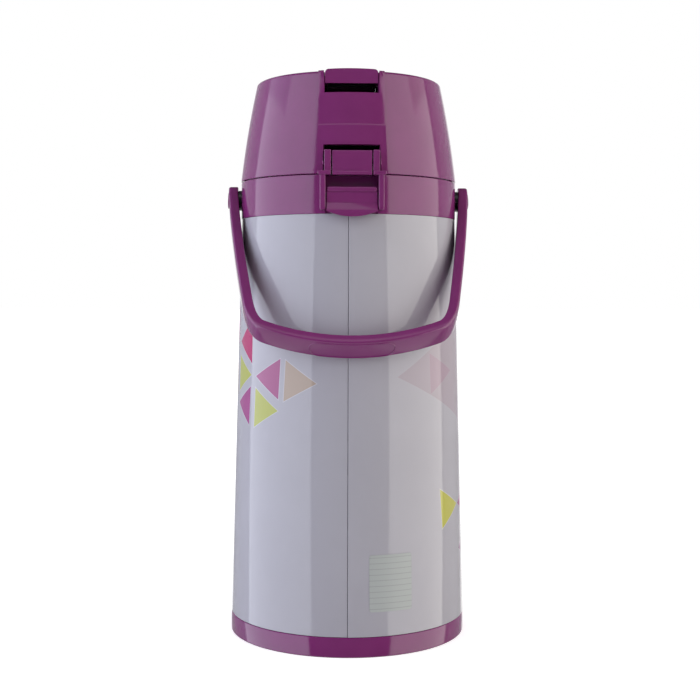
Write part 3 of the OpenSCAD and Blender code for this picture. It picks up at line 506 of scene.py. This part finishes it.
# %% Ribs, caps and ears
def rounded_end(bm, low, high, radius, end, soft):
    """A block whose two edges along one axis at the end face are fully rounded."""
    made = block(bm, low, high, soft=0)
    edges = list({edge for vert in made for edge in vert.link_edges})
    cut = rounding(bm, [edge for edge in edges if end(edge)], radius, 10)
    ring = {vert for vert in made if vert.is_valid} | set(cut["verts"])
    faces = {face for vert in ring for face in vert.link_faces}
    hard = [edge for face in faces for edge in face.edges
        if len(edge.link_faces) == 2 and edge.calc_face_angle(0) > math.radians(40)]
    rounding(bm, list(set(hard)), soft, 3)


def runs_along(edge, axis, level, other, sign):
    """True for an edge along `axis` that lies above (1) or below (-1) a level of `other`."""
    a, b = edge.verts[0].co, edge.verts[1].co
    return abs(a[axis] - b[axis]) > 1e-6 and (a[other] + b[other] - 2*level*mm)*sign > 0


recess_back, rib_front, cap_low, cap_high, ear_inside = 60, 76.1, 298, 300.6, 13.1
bm = bmesh.new()
block(bm, (-20, recess_back, 274.6), (20, recess_back + 2, 298.7), soft=0.3)
for side in (-1, 1):
    a, b = sorted((side*16.42, side*20.05))
    rounded_end(bm, (a, recess_back, 276.2), (b, rib_front, 299), 1.2,
        lambda edge: runs_along(edge, 1, 285, 2, -1), 0.7)
    a, b = sorted((side*ear_inside, side*21.35))
    block(bm, (a, 74.1, cap_low), (b, 76.5, cap_high), soft=0.6)
    a, b = sorted((side*ear_inside, side*17.3))
    rounded_end(bm, (a, 64.9, 298.2), (b, rib_front, 313.6), 1.0,
        lambda edge: runs_along(edge, 0, 300, 2, 1), 0.4)
bracket = keep(bm, "collar_bracket", "body", purple, turn_out=False)

# %% [markdown]
# ## The lid
# The lid's side leans in and curves a little, then turns over a tight edge into a nearly flat
# top. That outline is spun, and the channel for the press plate and the notch for the hinge
# are cut from the skin by planes. The skin gets its wall afterwards, so the cut edges show a
# real thickness. A Boolean could cut the finished wall, but it leaves long thin triangles that
# spoil the gloss.

# %% Lid outline
lid_z, rim_z, edge_r, step_h = 299.2, 365.1, 2.4, 30.8


def lid_side(height):
    """How far the lid's side stands from the middle at a height above its foot."""
    return 72.4 - 0.108*height - 0.00083*height*height


def lid_outline(grow=0.0, rise=0.0, step=0.0):
    """The lid's outline, grown outwards and upwards, with a step out below half height."""
    side = [(lid_side(0) + grow - 0.35, lid_z), (lid_side(0.4) + grow - 0.06, lid_z + 0.25)]
    side += [(lid_side(h) + grow + (step if h < step_h else 0), lid_z + h) for h in
        (0.8, 5, 10, 15, 20, 25, 29, 30.4, 30.7, 31.1, 31.4, 33, 35, 40, 45, 50, 55, 60, 62.5)]
    edge, top = lid_side(63.5) + grow - edge_r, rim_z + rise
    return side + arc(edge, top - edge_r, edge_r, 8, 86, 8) + [(50, top - 0.05), (30, top), (0, top)]


print("lid outline has", len(lid_outline()), "points")

# %% Cutting the channel and the notch
channel_half, channel_front, slot_z = 17.5, -57, 350.6
notch_half, notch_z, notch_front, notch_flare, notch_tall = 17.75, 317.4, 40, 0.05, 18
beyond = 200


def in_box(face, low, high, slack=0.0):
    """True if the face's middle lies in the box between two corners in mm."""
    middle = face.calc_center_median()
    return all(low[k]*mm - slack < middle[k] < high[k]*mm + slack for k in range(3))


def cut_out(bm, low, high):
    """Remove the part of a skin inside a box given by two corners in mm."""
    for axis in range(3):
        for level in (low[axis], high[axis]):
            if axis < 2 and abs(level) >= beyond:
                continue
            near = [face for face in bm.faces if in_box(face, low, high, slack=0.012)]
            parts = list({part for face in near for part in (*face.verts, *face.edges)}) + near
            across = Vector((0, 0, 0))
            across[axis] = 1
            bmesh.ops.bisect_plane(bm, geom=parts, dist=1e-7, plane_co=across*level*mm, plane_no=across)
    bmesh.ops.delete(bm, geom=[face for face in bm.faces if in_box(face, low, high)], context="FACES")


def cut_lid(bm):
    """Cut the channel and the notch, and let the notch widen a little towards its foot."""
    cut_out(bm, (-channel_half, channel_front, slot_z), (channel_half, beyond, 380))
    cut_out(bm, (-notch_half, notch_front, 290), (notch_half, beyond, notch_z))
    for vert in bm.verts:
        on_side = abs(abs(vert.co.x) - notch_half*mm) < 1e-6
        if on_side and vert.co.y > notch_front*mm and vert.co.z < notch_z*mm:
            vert.co.x *= 1 + notch_flare*(notch_z - vert.co.z/mm)/notch_tall


bm = turned(lid_outline(), closed=False)
cut_lid(bm)
lid = keep(bm, "lid_dome", "lid", purple, ("lid_shell",), wall=2.2)

# %% [markdown]
# A raised band runs over the lid from the hinge to the spout. A strip bent over the lid would
# have to be fitted to it, so the band is the lid's own outline, grown by 1 mm at the side and
# 0.4 mm on top, and cut down to a strip by two planes. A step of 0.28 mm runs across it at
# half height, and below the step the strip widens towards its foot. The wall is added here
# and not by `keep`, because some of its corners reach into the notch or below the foot and
# have to be set back.

# %% Raised band
band_half, flare_z, flare_tall = 20.9, 330.2, 31
bm = turned(lid_outline(1.0, 0.4, 0.28), closed=False)
for side in (-1, 1):
    bmesh.ops.bisect_plane(bm, geom=bm.verts[:] + bm.edges[:] + bm.faces[:], dist=1e-7,
        plane_co=(side*band_half*mm, 0, 0), plane_no=(side, 0, 0), clear_outer=True)
for vert in bm.verts:
    if abs(vert.co.x) > (band_half - 0.01)*mm and vert.co.z < flare_z*mm:
        vert.co.x *= 1 + (0.2 + 1.2*(flare_z*mm - vert.co.z)/(flare_tall*mm))/band_half
cut_lid(bm)
bmesh.ops.recalc_face_normals(bm, faces=bm.faces[:])
bmesh.ops.solidify(bm, geom=bm.faces[:], thickness=1.5*mm)
for vert in bm.verts:
    in_notch = abs(vert.co.x) < 17.8*mm and vert.co.z < 316.9*mm
    if in_notch and vert.co.y > notch_front*mm:
        vert.co.x = math.copysign(17.9*mm, vert.co.x)
    vert.co.z = max(vert.co.z, lid_z*mm)
band = keep(bm, "lid_band", "lid", purple, edge=0.6, sharp=50)

# %% [markdown]
# Walls line the channel that the press plate lies in. They are blocks, because the channel is
# straight. Two bosses carry the plate's pin, and a narrow lip along each wall's top closes
# most of the gap beside the plate.

# %% Channel walls
channel_wall, channel_top, beside_plate = 2.2, 364.9, 16.86
bm = bmesh.new()
for side in (-1, 1):
    a, b = sorted((side*channel_half, side*(channel_half + channel_wall)))
    block(bm, (a, -59, slot_z - 2), (b, 60.5, channel_top), soft=0.2)
    a, b = sorted((side*beside_plate, side*channel_half))
    block(bm, (a, 47, 355), (b, 58, channel_top - 0.5), soft=0.2)
    block(bm, (a, -58, channel_top - 2), (b, 50, channel_top - 0.1), soft=0)
block(bm, (-19.7, -59.2, slot_z - 2), (19.7, channel_front, channel_top), soft=0.2)
channel = keep(bm, "channel_walls", "lid", purple)

# %% [markdown]
# ## The nose
# The hood over the nozzle is a tall, rounded form. One ring in the shape of the hood's foot is
# extruded upwards level by level, and the front of each new ring is drawn in or out to
# follow the hood's side view. A ball could be pushed into shape instead, but that view would
# then be found by trial.

# %% Nose
levels = [(327.25, 96), (328.3, 97.8), (331.2, 100), (335.1, 101.9), (341.1, 100.6), (347.1, 98),
    (352.6, 94.8), (358.1, 90.6), (361.6, 87), (364.2, 82.6), (365.1, 78.6), (365.45, 73)]
nose_half, nose_start, nose_back = 20.8, 62, 59.3
bm = bmesh.new()
ring = bmesh.ops.create_circle(bm, cap_ends=True, radius=1, segments=64)["verts"]
for vert in ring:
    front = max(0.0, -vert.co.y)
    reached = -nose_start - (levels[0][1] - nose_start)*front**0.9 if vert.co.y < 0 else -nose_back
    vert.co = Vector((math.copysign(abs(vert.co.x)**0.75, vert.co.x)*nose_half*mm,
        reached*mm, levels[0][0]*mm))
edges = bm.edges[:]
for (_, reach), (height, new_reach) in zip(levels, levels[1:]):
    made = bmesh.ops.extrude_edge_only(bm, edges=edges)["geom"]
    edges = [part for part in made if isinstance(part, bmesh.types.BMEdge)]
    for vert in [part for part in made if isinstance(part, bmesh.types.BMVert)]:
        vert.co.z = height*mm
        if vert.co.y < -nose_start*mm:
            drawn = (new_reach - nose_start)/(reach - nose_start)
            vert.co.y = -nose_start*mm + (vert.co.y + nose_start*mm)*drawn
bmesh.ops.holes_fill(bm, edges=edges, sides=0)
nose = keep(bm, "nose_hood", "lid", purple, edge=0.8, sharp=50)

# %% [markdown]
# ## The handle
# The bail is a strap that drops from two pivots behind the pot and lies against the sleeve.
# Its cut across has a flat inside, rounded corners and a crowned outside. That cut is drawn
# once for each of many stations along the strap and extruded from one to the next. A station
# has its own thickness, width and crown, so the same sweep makes the round ends at the
# pivots, the arms and the broad bow. A curve with a bevel would be quicker, but its section
# can't change on the way.

# %% Helper: extrude from ring to ring
def swept(rings, closed=False):
    """Join rings of points, each the same length, by extruding the first through the others."""
    bm = bmesh.new()
    order = [bm.verts.new(spot) for spot in rings[0]]
    edges = [bm.edges.new(pair) for pair in zip(order, order[1:] + order[:1])]
    for ring in rings[1:]:
        before = {vert: k for k, vert in enumerate(order)}
        made = bmesh.ops.extrude_edge_only(bm, edges=edges)["geom"]
        edges = [part for part in made if isinstance(part, bmesh.types.BMEdge)]
        order = [None]*len(ring)
        for vert in (part for part in made if isinstance(part, bmesh.types.BMVert)):
            grown_from = next(edge.other_vert(vert) for edge in vert.link_edges
                if edge.other_vert(vert) in before)
            order[before[grown_from]] = vert
        for vert, spot in zip(order, ring):
            vert.co = spot
    if closed:
        bmesh.ops.remove_doubles(bm, verts=bm.verts[:], dist=1e-6)
    else:
        close_ends(bm)
    return bm


def ease(value, start, stop):
    """0 before start, 1 after stop, and a smooth rise between."""
    part = min(1.0, max(0.0, (value - start)/(stop - start)))
    return part*part*(3 - 2*part)


print("sweeping ready")

# %% The strap's line
pivot = Vector((0, 0, 287.3))
droop = Matrix.Rotation(math.radians(40.8109 - 90), 3, "X")
reach, bow_thick, arm_thick, bow_r = 122.9, 6.4, 6.8, 136.0
strap_wide, strap_crown, end_round = 15.8, 0.4, 9.3


def arm_x(s):
    """How far an arm's outside stands from the middle, s mm down from the pivot."""
    s = max(s, 0)
    return 81.2 - 0.1*s - 0.0004*s*s


def strap_line(inset, reach, radius, corner_x, pull):
    """Half of one of the strap's faces, from the pivot to the middle of the bow, as (x, s)."""
    def bow(x):
        return Vector((x, reach - radius + math.sqrt(radius*radius - x*x)))
    arm = [Vector((arm_x(s) - inset, s)) for s in (-9.3, -9.1, -8.6, -7.6, -6.4, -4.5, -2, 1, 3, 4.8,
        8, 12, 16, 20, 28, 38, 48, 60, 72, 82, 90)]
    start, end, lure = arm[-1], bow(corner_x), bow(corner_x + 9) + Vector((pull, -0.45*pull))
    bend = [start*(1 - t)**2 + lure*2*t*(1 - t) + end*t*t for t in [i/12 for i in range(1, 13)]]
    return arm + bend + [bow(corner_x*(1 - i/24)) for i in range(1, 25)]


outer_line = strap_line(0, reach + bow_thick, bow_r, 56, 1)
inner_line = strap_line(arm_thick, reach, 130, 54, -3.4)
print(len(outer_line), "stations from a pivot to the middle of the bow")

# %% Handle
def strap_cut(thick, wide, crown, corner):
    """The strap's cut as (across, along) points in mm. Across is 0 on the inside."""
    half, soft, meet = wide/2, min(0.7, wide/6), 0.78
    upper = [(soft - soft*math.cos(math.radians(a)), half - soft + soft*math.sin(math.radians(a)))
        for a in (0, 30, 60, 90)]
    first, second = (thick - crown - corner, half), (thick - crown, half)
    third = (thick - crown*meet**2, half*meet)
    upper += [tuple(a*(1 - t)**2 + b*2*t*(1 - t) + c*t*t for a, b, c in zip(first, second, third))
        for t in (0, 0.2, 0.4, 0.6, 0.8, 1)]
    upper += [(thick - crown*(meet*k)**2, half*meet*k) for k in (0.66, 0.33)]
    return upper + [(thick, 0)] + [(across, -along) for across, along in reversed(upper)]


def station(side, k):
    """The strap's cut at station k, as places in metres. Side is 1 or -1."""
    outer, inner = outer_line[k], inner_line[k]
    at_pivot = 1 - ease(outer.y, 6, 20)
    bent = ease(k, 20, 33)
    rounded = 2*math.sqrt(max(0.0, end_round**2 - min(outer.y, 0)**2))
    wide = min(strap_wide, max(1.6, rounded))
    crown = strap_crown*(wide/strap_wide)**2
    corner = (1.9 - 0.9*bent)*min(1, 0.3 + wide/strap_wide)
    way = (outer - inner).normalized()
    thick = (outer - inner).length - 0.25*at_pivot
    spots = []
    for across, along in strap_cut(thick, wide, crown, corner):
        flat = inner + way*across
        spots.append((pivot + droop @ Vector((flat.x*side, flat.y, along)))*mm)
    return spots


middle = len(outer_line) - 1
rings = [station(1, k) for k in range(middle + 1)] + [station(-1, k) for k in range(middle - 1, -1, -1)]
handle = keep(swept(rings), "bail_handle", "handle", purple, ("handle",), sharp=40)

# %% [markdown]
# Each pivot is a steel screw with a moulded cap. Nothing shows between the two, so they are
# turned as one outline, and the faces of the cap take a second finish. The cap is flush with
# the strap, so its top is bent to the same crown.

# %% Pivot screws
cap_top, cap_seat, quarter = 81.18, 79.3, Matrix.Rotation(math.radians(90), 3, "Y")
for name, side in (("pivot_screw_l", -1), ("pivot_screw_r", 1)):
    bm = turned([(0, cap_top), (1.5, cap_top), (3, cap_top), (4.5, cap_top), (5.2, cap_top - 0.03),
        (5.45, 81), (5.5, 80.7), (5.5, cap_seat), (3, cap_seat), (3, 63), (0, 63)], closed=False, steps=48)
    bmesh.ops.rotate(bm, cent=(0, 0, 0), matrix=quarter, verts=bm.verts[:])
    for vert in bm.verts:
        if vert.co.x > 80*mm:
            vert.co.x -= strap_crown*mm*(vert.co.z/(strap_wide/2*mm))**2
        spot = droop @ Vector((0, vert.co.y, vert.co.z))
        vert.co = Vector((vert.co.x*side, spot.y, spot.z + pivot.z*mm))
    screw = keep(bm, name + "_capped", "body", [steel, purple], (name,))
    for face in screw.data.polygons:
        face.material_index = 1 if abs(face.center.x) > (cap_seat - 0.05)*mm else 0

# %% [markdown]
# A fine raised line in the shape of a capsule runs round the middle of the bow's outside. It
# is a small round section, half sunk in the strap, swept along the capsule and laid on the
# crowned face. Cutting it into the strap's own mesh would need far more faces.

# %% Capsule line
def on_bow(u, v):
    """A point of the bow's outer face and the way out of it."""
    centre = reach + bow_thick - bow_r
    way = Vector((math.sin(u/bow_r), math.cos(u/bow_r)))
    flat = Vector((0, centre)) + way*(bow_r - strap_crown*(v/(strap_wide/2))**2)
    return pivot + droop @ Vector((flat.x, flat.y, v)), droop @ Vector((way.x, way.y, 0))


straight, end_r, raised, lift, sections = 20.4, 6.2, 0.5, -0.5, 8
path = [(straight*(1 - 2*i/20), end_r) for i in range(20)]
path += [(-straight - end_r*math.sin(math.pi*i/16), end_r*math.cos(math.pi*i/16)) for i in range(16)]
path += [(-straight*(1 - 2*i/20), -end_r) for i in range(20)]
path += [(straight + end_r*math.sin(math.pi*i/16), -end_r*math.cos(math.pi*i/16)) for i in range(16)]
places = [on_bow(u, v + lift) for u, v in path]
rings = []
for at in range(len(places) + 1):
    (here, way), (ahead, _), (before, _) = (places[(at + k) % len(places)] for k in (0, 1, -1))
    aside = way.cross((ahead - before).normalized())
    rings.append([(here + aside*raised*math.cos(a) + way*raised*math.sin(a))*mm for a in
        [math.tau*i/sections for i in range(sections)]])
capsule = keep(swept(rings, closed=True), "capsule_line", "handle", purple, sharp=80)

# %% [markdown]
# ## Pieces kept from the frame
# The press plate, the lever, the lid's base with its knuckle, and the small hardware already
# have their true shape, and building them anew would only risk a different size. What they
# lack is the soft edge of a moulding. So each is copied, its triangles are joined, and its
# corners are rounded.

# %% Softened pieces
soft_pieces = {}
for node, body, finish, slot, edge in (
        ("press_plate", "press_plate", purple, "purple", 0.7),
        ("release_lever", "release_lever", purple, "purple", 0.5),
        # The slider and the nozzle take the darker purple, painted shade.
        ("lock_slider", "lock_slider", dark_purple, "dark_purple", 0.25),
        ("spout_nozzle", "lid", dark_purple, "dark_purple", 0.3),
        # The spacers are black as painted shade, for the shade they sit in between handle and collar.
        ("pivot_spacer_l", "body", black_plastic, "black_plastic", 0.3),
        ("pivot_spacer_r", "body", black_plastic, "black_plastic", 0.3),
        ("stopper", "lid", white_plastic, "white_plastic", 0.4)):
    soft_pieces[node] = softened(node, body, finish, edge=edge)

# %% [markdown]
# The spacers between the handle and the collar are flat discs, and the collar is round. Their
# inner faces move in a little, so that no light shows between disc and collar.

# %% Spacers seated on the collar
seated, face_depth = 1.6*mm, 0.4*mm
for node in ("pivot_spacer_l", "pivot_spacer_r"):
    verts = soft_pieces[node].data.vertices
    inner = min(abs(vert.co.x) for vert in verts)
    for vert in verts:
        if abs(vert.co.x) < inner + face_depth:
            vert.co.x -= math.copysign(seated, vert.co.x)
    print(node, "seated from", round(inner/mm, 2), "mm")

# %% [markdown]
# Below the hinge's knuckle the lid ends in a rounded lip, and the lever's top ends in a roll
# for the fingertips. The lip is a rounded block, cut across in short lengths so that it can
# be bent to the collar's curve. The roll is short and straight, so it stays a block.

# %% Lip and roll
lip_half, lip_bend = 12.3, 130*mm
bm = bmesh.new()
block(bm, (-lip_half, 74.9, 297.9), (lip_half, 77.5, cap_high), soft=1.25, segments=8)
for level in range(-10, 11, 2):
    bmesh.ops.bisect_plane(bm, geom=bm.verts[:] + bm.edges[:] + bm.faces[:], dist=1e-7,
        plane_co=(level*mm, 0, 0), plane_no=(1, 0, 0))
for vert in bm.verts:
    vert.co.y -= vert.co.x**2/lip_bend
lip = keep(bm, "lid_lip", "lid", purple, turn_out=False)
bm = bmesh.new()
block(bm, (-15.6, 72.2, 287.4), (15.6, 75.3, 290.8), soft=1.3, segments=5)
roll = keep(bm, "lever_roll", "release_lever", purple)

# %% [markdown]
# The lid's base is white, and its hinge knuckle is purple like the lid. One mesh carries both
# finishes, and each face picks its own.

# %% Lid base and knuckle
knuckle_front, knuckle_half = 56.2*mm, 12.6*mm
knuckle = softened("lid_base", "lid", [white_plastic, purple], edge=0.6)
for face in knuckle.data.polygons:
    on_knuckle = face.center.y > knuckle_front and abs(face.center.x) < knuckle_half
    face.material_index = 1 if on_knuckle else 0

# %% [markdown]
# What is left is hardware and what lies inside: pins, screws, springs, the glass refill,
# gaskets and pipes. Their shapes need nothing more, so each node only gets its finish.

# %% Finishes of the remaining nodes
plain_nodes = (
    # The pins take the darkened steel, painted shade for their gaps.
    (shade_dark_steel, ("hinge_pin", "lever_pin", "plate_pin")),
    (steel, ("lever_spring", "return_spring", "lid_screw_fl", "lid_screw_fr", "lid_screw_rl",
        "lid_screw_rr")),
    (silvered_glass, ("refill_outer",)), (clear_glass, ("refill_inner",)),
    (grey_rubber, ("refill_cushion", "neck_gasket", "tube_seal", "stopper_gasket", "air_valve",
        "bellows")),
    # The bellows cap takes the darker purple, painted shade.
    (white_plastic, ("tube_holder", "dip_tube", "outlet_pipe")), (dark_purple, ("bellows_cap",)))
for finish, names in plain_nodes:
    for node in names:
        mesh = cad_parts[node].data
        mesh.materials.clear()
        mesh.materials.append(finish)
    print(finish.name, "on", ", ".join(names))

# %% [markdown]
# ## The label
# A small paper label is glued low on the back. It is a grid of faces bent round the sleeve,
# with its corners rounded, and carries only ruled lines. It could be painted on the sleeve,
# but a glued label stands a little proud and has an edge. The lines come from the height: it
# is divided by their pitch, and the fraction that is left says how far the nearest line is.

# %% Label paper
paper, nodes, links, paper_shader, place = finish_nodes("label_paper", IOR=1.45)
split = nodes.new("ShaderNodeSeparateXYZ")
links.new(place, split.inputs[0])
line_pitch, line_share = 3.5, 0.06
share = number("FRACT", number("DIVIDE", number("MULTIPLY", split.outputs[2], 1/mm), line_pitch))
rows = number("LESS_THAN", number("ABSOLUTE", number("SUBTRACT", share, 0.5)), line_share)
paper_grey, line_grey = (0.47, 0.50, 0.49), (0.38, 0.39, 0.40)
links.new(tint(nodes, links, rows, paper_grey, line_grey), paper_shader.inputs["Base Color"])
satin = between(nodes, links, noise(nodes, links, place, 200), 0.3, 0.42)
links.new(satin, paper_shader.inputs["Roughness"])
print("label ruled every", line_pitch, "mm")

# %% Label on the sleeve
label_w, label_h, label_middle, label_bearing, glue = 28.5, 34.9, 45.5, math.radians(108.9), 0.08
bm = bmesh.new()
bmesh.ops.create_grid(bm, x_segments=16, y_segments=8, size=0.5)
corners = [vert for vert in bm.verts if abs(vert.co.x) > 0.49 and abs(vert.co.y) > 0.49]
bmesh.ops.scale(bm, vec=(label_w*mm, label_h*mm, 1), verts=bm.verts[:])
rounding(bm, corners, 1.6, 4, affect="VERTICES")
for vert in bm.verts:
    up = label_middle + vert.co.y/mm
    radius = (foot_r + (head_r - foot_r)*(up - foot_z)/(head_z - foot_z) + lap + glue)*mm
    turn = label_bearing + vert.co.x/radius
    vert.co = (radius*math.cos(turn), radius*math.sin(turn), up*mm)
label = keep(bm, "rating_label_blank", "body", paper, ("rating_label",), wall=0.12)

# %% [markdown]
# ## Light and ground
# Two tall soft boxes stand left and right of the pot and give the long upright reflections.
# They are area lamps, because a small lamp would leave a dot on the gloss and a hard shadow.
# The room adds a dim even light, and is white only to the eye, in gloss and through glass.

# %% Soft boxes
def soft_box(name, azimuth, colour, power, width, height=2.2, distance=1.1, level=0.3):
    """An upright rectangle of light, in metres, that faces the pot from a bearing in degrees."""
    light = bpy.data.lights.new(name, "AREA")
    light.shape, light.size, light.size_y = "RECTANGLE", width, height
    light.color, light.energy = colour, power
    lamp = bpy.data.objects.new(name, light)
    bpy.context.scene.collection.objects.link(lamp)
    turn = math.radians(azimuth)
    lamp.location = (distance*math.cos(turn), distance*math.sin(turn), level)
    lamp.rotation_euler = (math.radians(90), 0, turn + math.radians(90))
    lamp.visible_camera = False
    return lamp


left_box = soft_box("left_box", 12.75, (0.89, 0.95, 1.12), 20, width=1.83)
right_box = soft_box("right_box", 163.2, (1.05, 1.0, 0.92), 15.5, width=1.48)
for box in (left_box, right_box):
    print(box.name, "at", tuple(round(c, 2) for c in box.location))

# %% Room
world = bpy.data.worlds.new("room")
bpy.context.scene.world = world
world.use_nodes = True
nodes, links = world.node_tree.nodes, world.node_tree.links
rays = nodes.new("ShaderNodeLightPath").outputs
seen = number("MAXIMUM", rays["Is Camera Ray"], rays["Is Transmission Ray"])
seen_or_mirrored = number("MAXIMUM", seen, rays["Is Glossy Ray"])
room_light, room_white = (0.34, 0.335, 0.335), (1, 1, 1)
shade = tint(nodes, links, seen_or_mirrored, room_light, room_white)
links.new(shade, nodes["Background"].inputs["Color"])
print("white room")

# %% [markdown]
# The ground is white to the eye but still takes the pot's shadow. Screens shape the gloss: a
# dark one behind the camera keeps the middle of each reflection deep, a dark canopy does the
# same overhead, and two pale flats brighten the far edges. They show in gloss alone, so they
# take no light from the pot and cast no shadow.

# %% Matt sheets
def plain(name, colour, glow=(0, 0)):
    """A matt finish. To the eye it also glows, by glow[0] at the pot and glow[1] far from it."""
    made = bpy.data.materials.new(name)
    made.use_nodes = True
    nodes, links = made.node_tree.nodes, made.node_tree.links
    nodes.clear()
    rays = nodes.new("ShaderNodeLightPath")
    cover, light = nodes.new("ShaderNodeBsdfDiffuse"), nodes.new("ShaderNodeEmission")
    both, out = nodes.new("ShaderNodeAddShader"), nodes.new("ShaderNodeOutputMaterial")
    power = nodes.new("ShaderNodeMath")
    power.operation = "MULTIPLY"
    where, far = nodes.new("ShaderNodeTexCoord"), nodes.new("ShaderNodeVectorMath")
    far.operation = "LENGTH"
    links.new(where.outputs["Object"], far.inputs[0])
    grow = nodes.new("ShaderNodeMapRange")
    for socket, value in (("From Min", 0.08), ("From Max", 1.1), ("To Min", glow[0]), ("To Max", glow[1])):
        grow.inputs[socket].default_value = value
    links.new(far.outputs["Value"], grow.inputs["Value"])
    links.new(grow.outputs["Result"], power.inputs[1])
    links.new(rays.outputs["Is Camera Ray"], power.inputs[0])
    links.new(power.outputs[0], light.inputs["Strength"])
    cover.inputs["Color"].default_value = (*colour, 1)
    links.new(cover.outputs[0], both.inputs[0])
    links.new(light.outputs[0], both.inputs[1])
    links.new(both.outputs[0], out.inputs["Surface"])
    return made


def stage_sheet(name, finish, size, place):
    """A flat sheet that belongs to the stage and not to the pot."""
    bm = bmesh.new()
    bmesh.ops.create_grid(bm, x_segments=1, y_segments=1, size=0.5)
    bmesh.ops.transform(bm, matrix=place @ Matrix.Diagonal((*size, 1, 1)), verts=bm.verts[:])
    mesh = bpy.data.meshes.new(name)
    bm.to_mesh(mesh)
    bm.free()
    mesh.materials.append(finish)
    sheet = bpy.data.objects.new(name, mesh)
    bpy.context.scene.collection.objects.link(sheet)
    return sheet


white_ground = plain("white_ground", (0.85, 0.85, 0.85), glow=(0.62, 1.3))
print("matt sheets ready")

# %% Ground and screens
ground = stage_sheet("ground", white_ground, (40, 40), Matrix.Identity(4))
ground.visible_glossy = False
dark_felt = plain("dark_felt", (0.2, 0.2, 0.21))
grey_felt = plain("grey_felt", (0.8, 0.8, 0.82))
stood_up = Matrix.Rotation(math.radians(90), 4, "X")


def facing(azimuth, distance=1.3):
    """Where an upright sheet stands that faces the pot from a bearing in degrees."""
    turn = math.radians(azimuth)
    return (Matrix.Translation((distance*math.cos(turn), distance*math.sin(turn), 0))
        @ Matrix.Rotation(turn + math.radians(90), 4, "Z") @ stood_up)


behind_camera, overhead = Matrix.Translation((-0.03, 1.35, -0.18)), Matrix.Translation((0, -1.29, 1.6))
screens = [
    stage_sheet("dark_screen", dark_felt, (2.16, 3.05), behind_camera @ stood_up),
    stage_sheet("dark_canopy", dark_felt, (6, 3.42), overhead),
    stage_sheet("left_flat", grey_felt, (1.15, 3.0), facing(-50)),
    stage_sheet("right_flat", grey_felt, (1.15, 3.0), facing(220))]
for sheet in screens:
    for way in ("camera", "diffuse", "transmission", "shadow", "volume_scatter"):
        setattr(sheet, "visible_" + way, False)
bpy.context.scene.view_settings.view_transform = "Standard"
print("ground and", len(screens), "screens set")
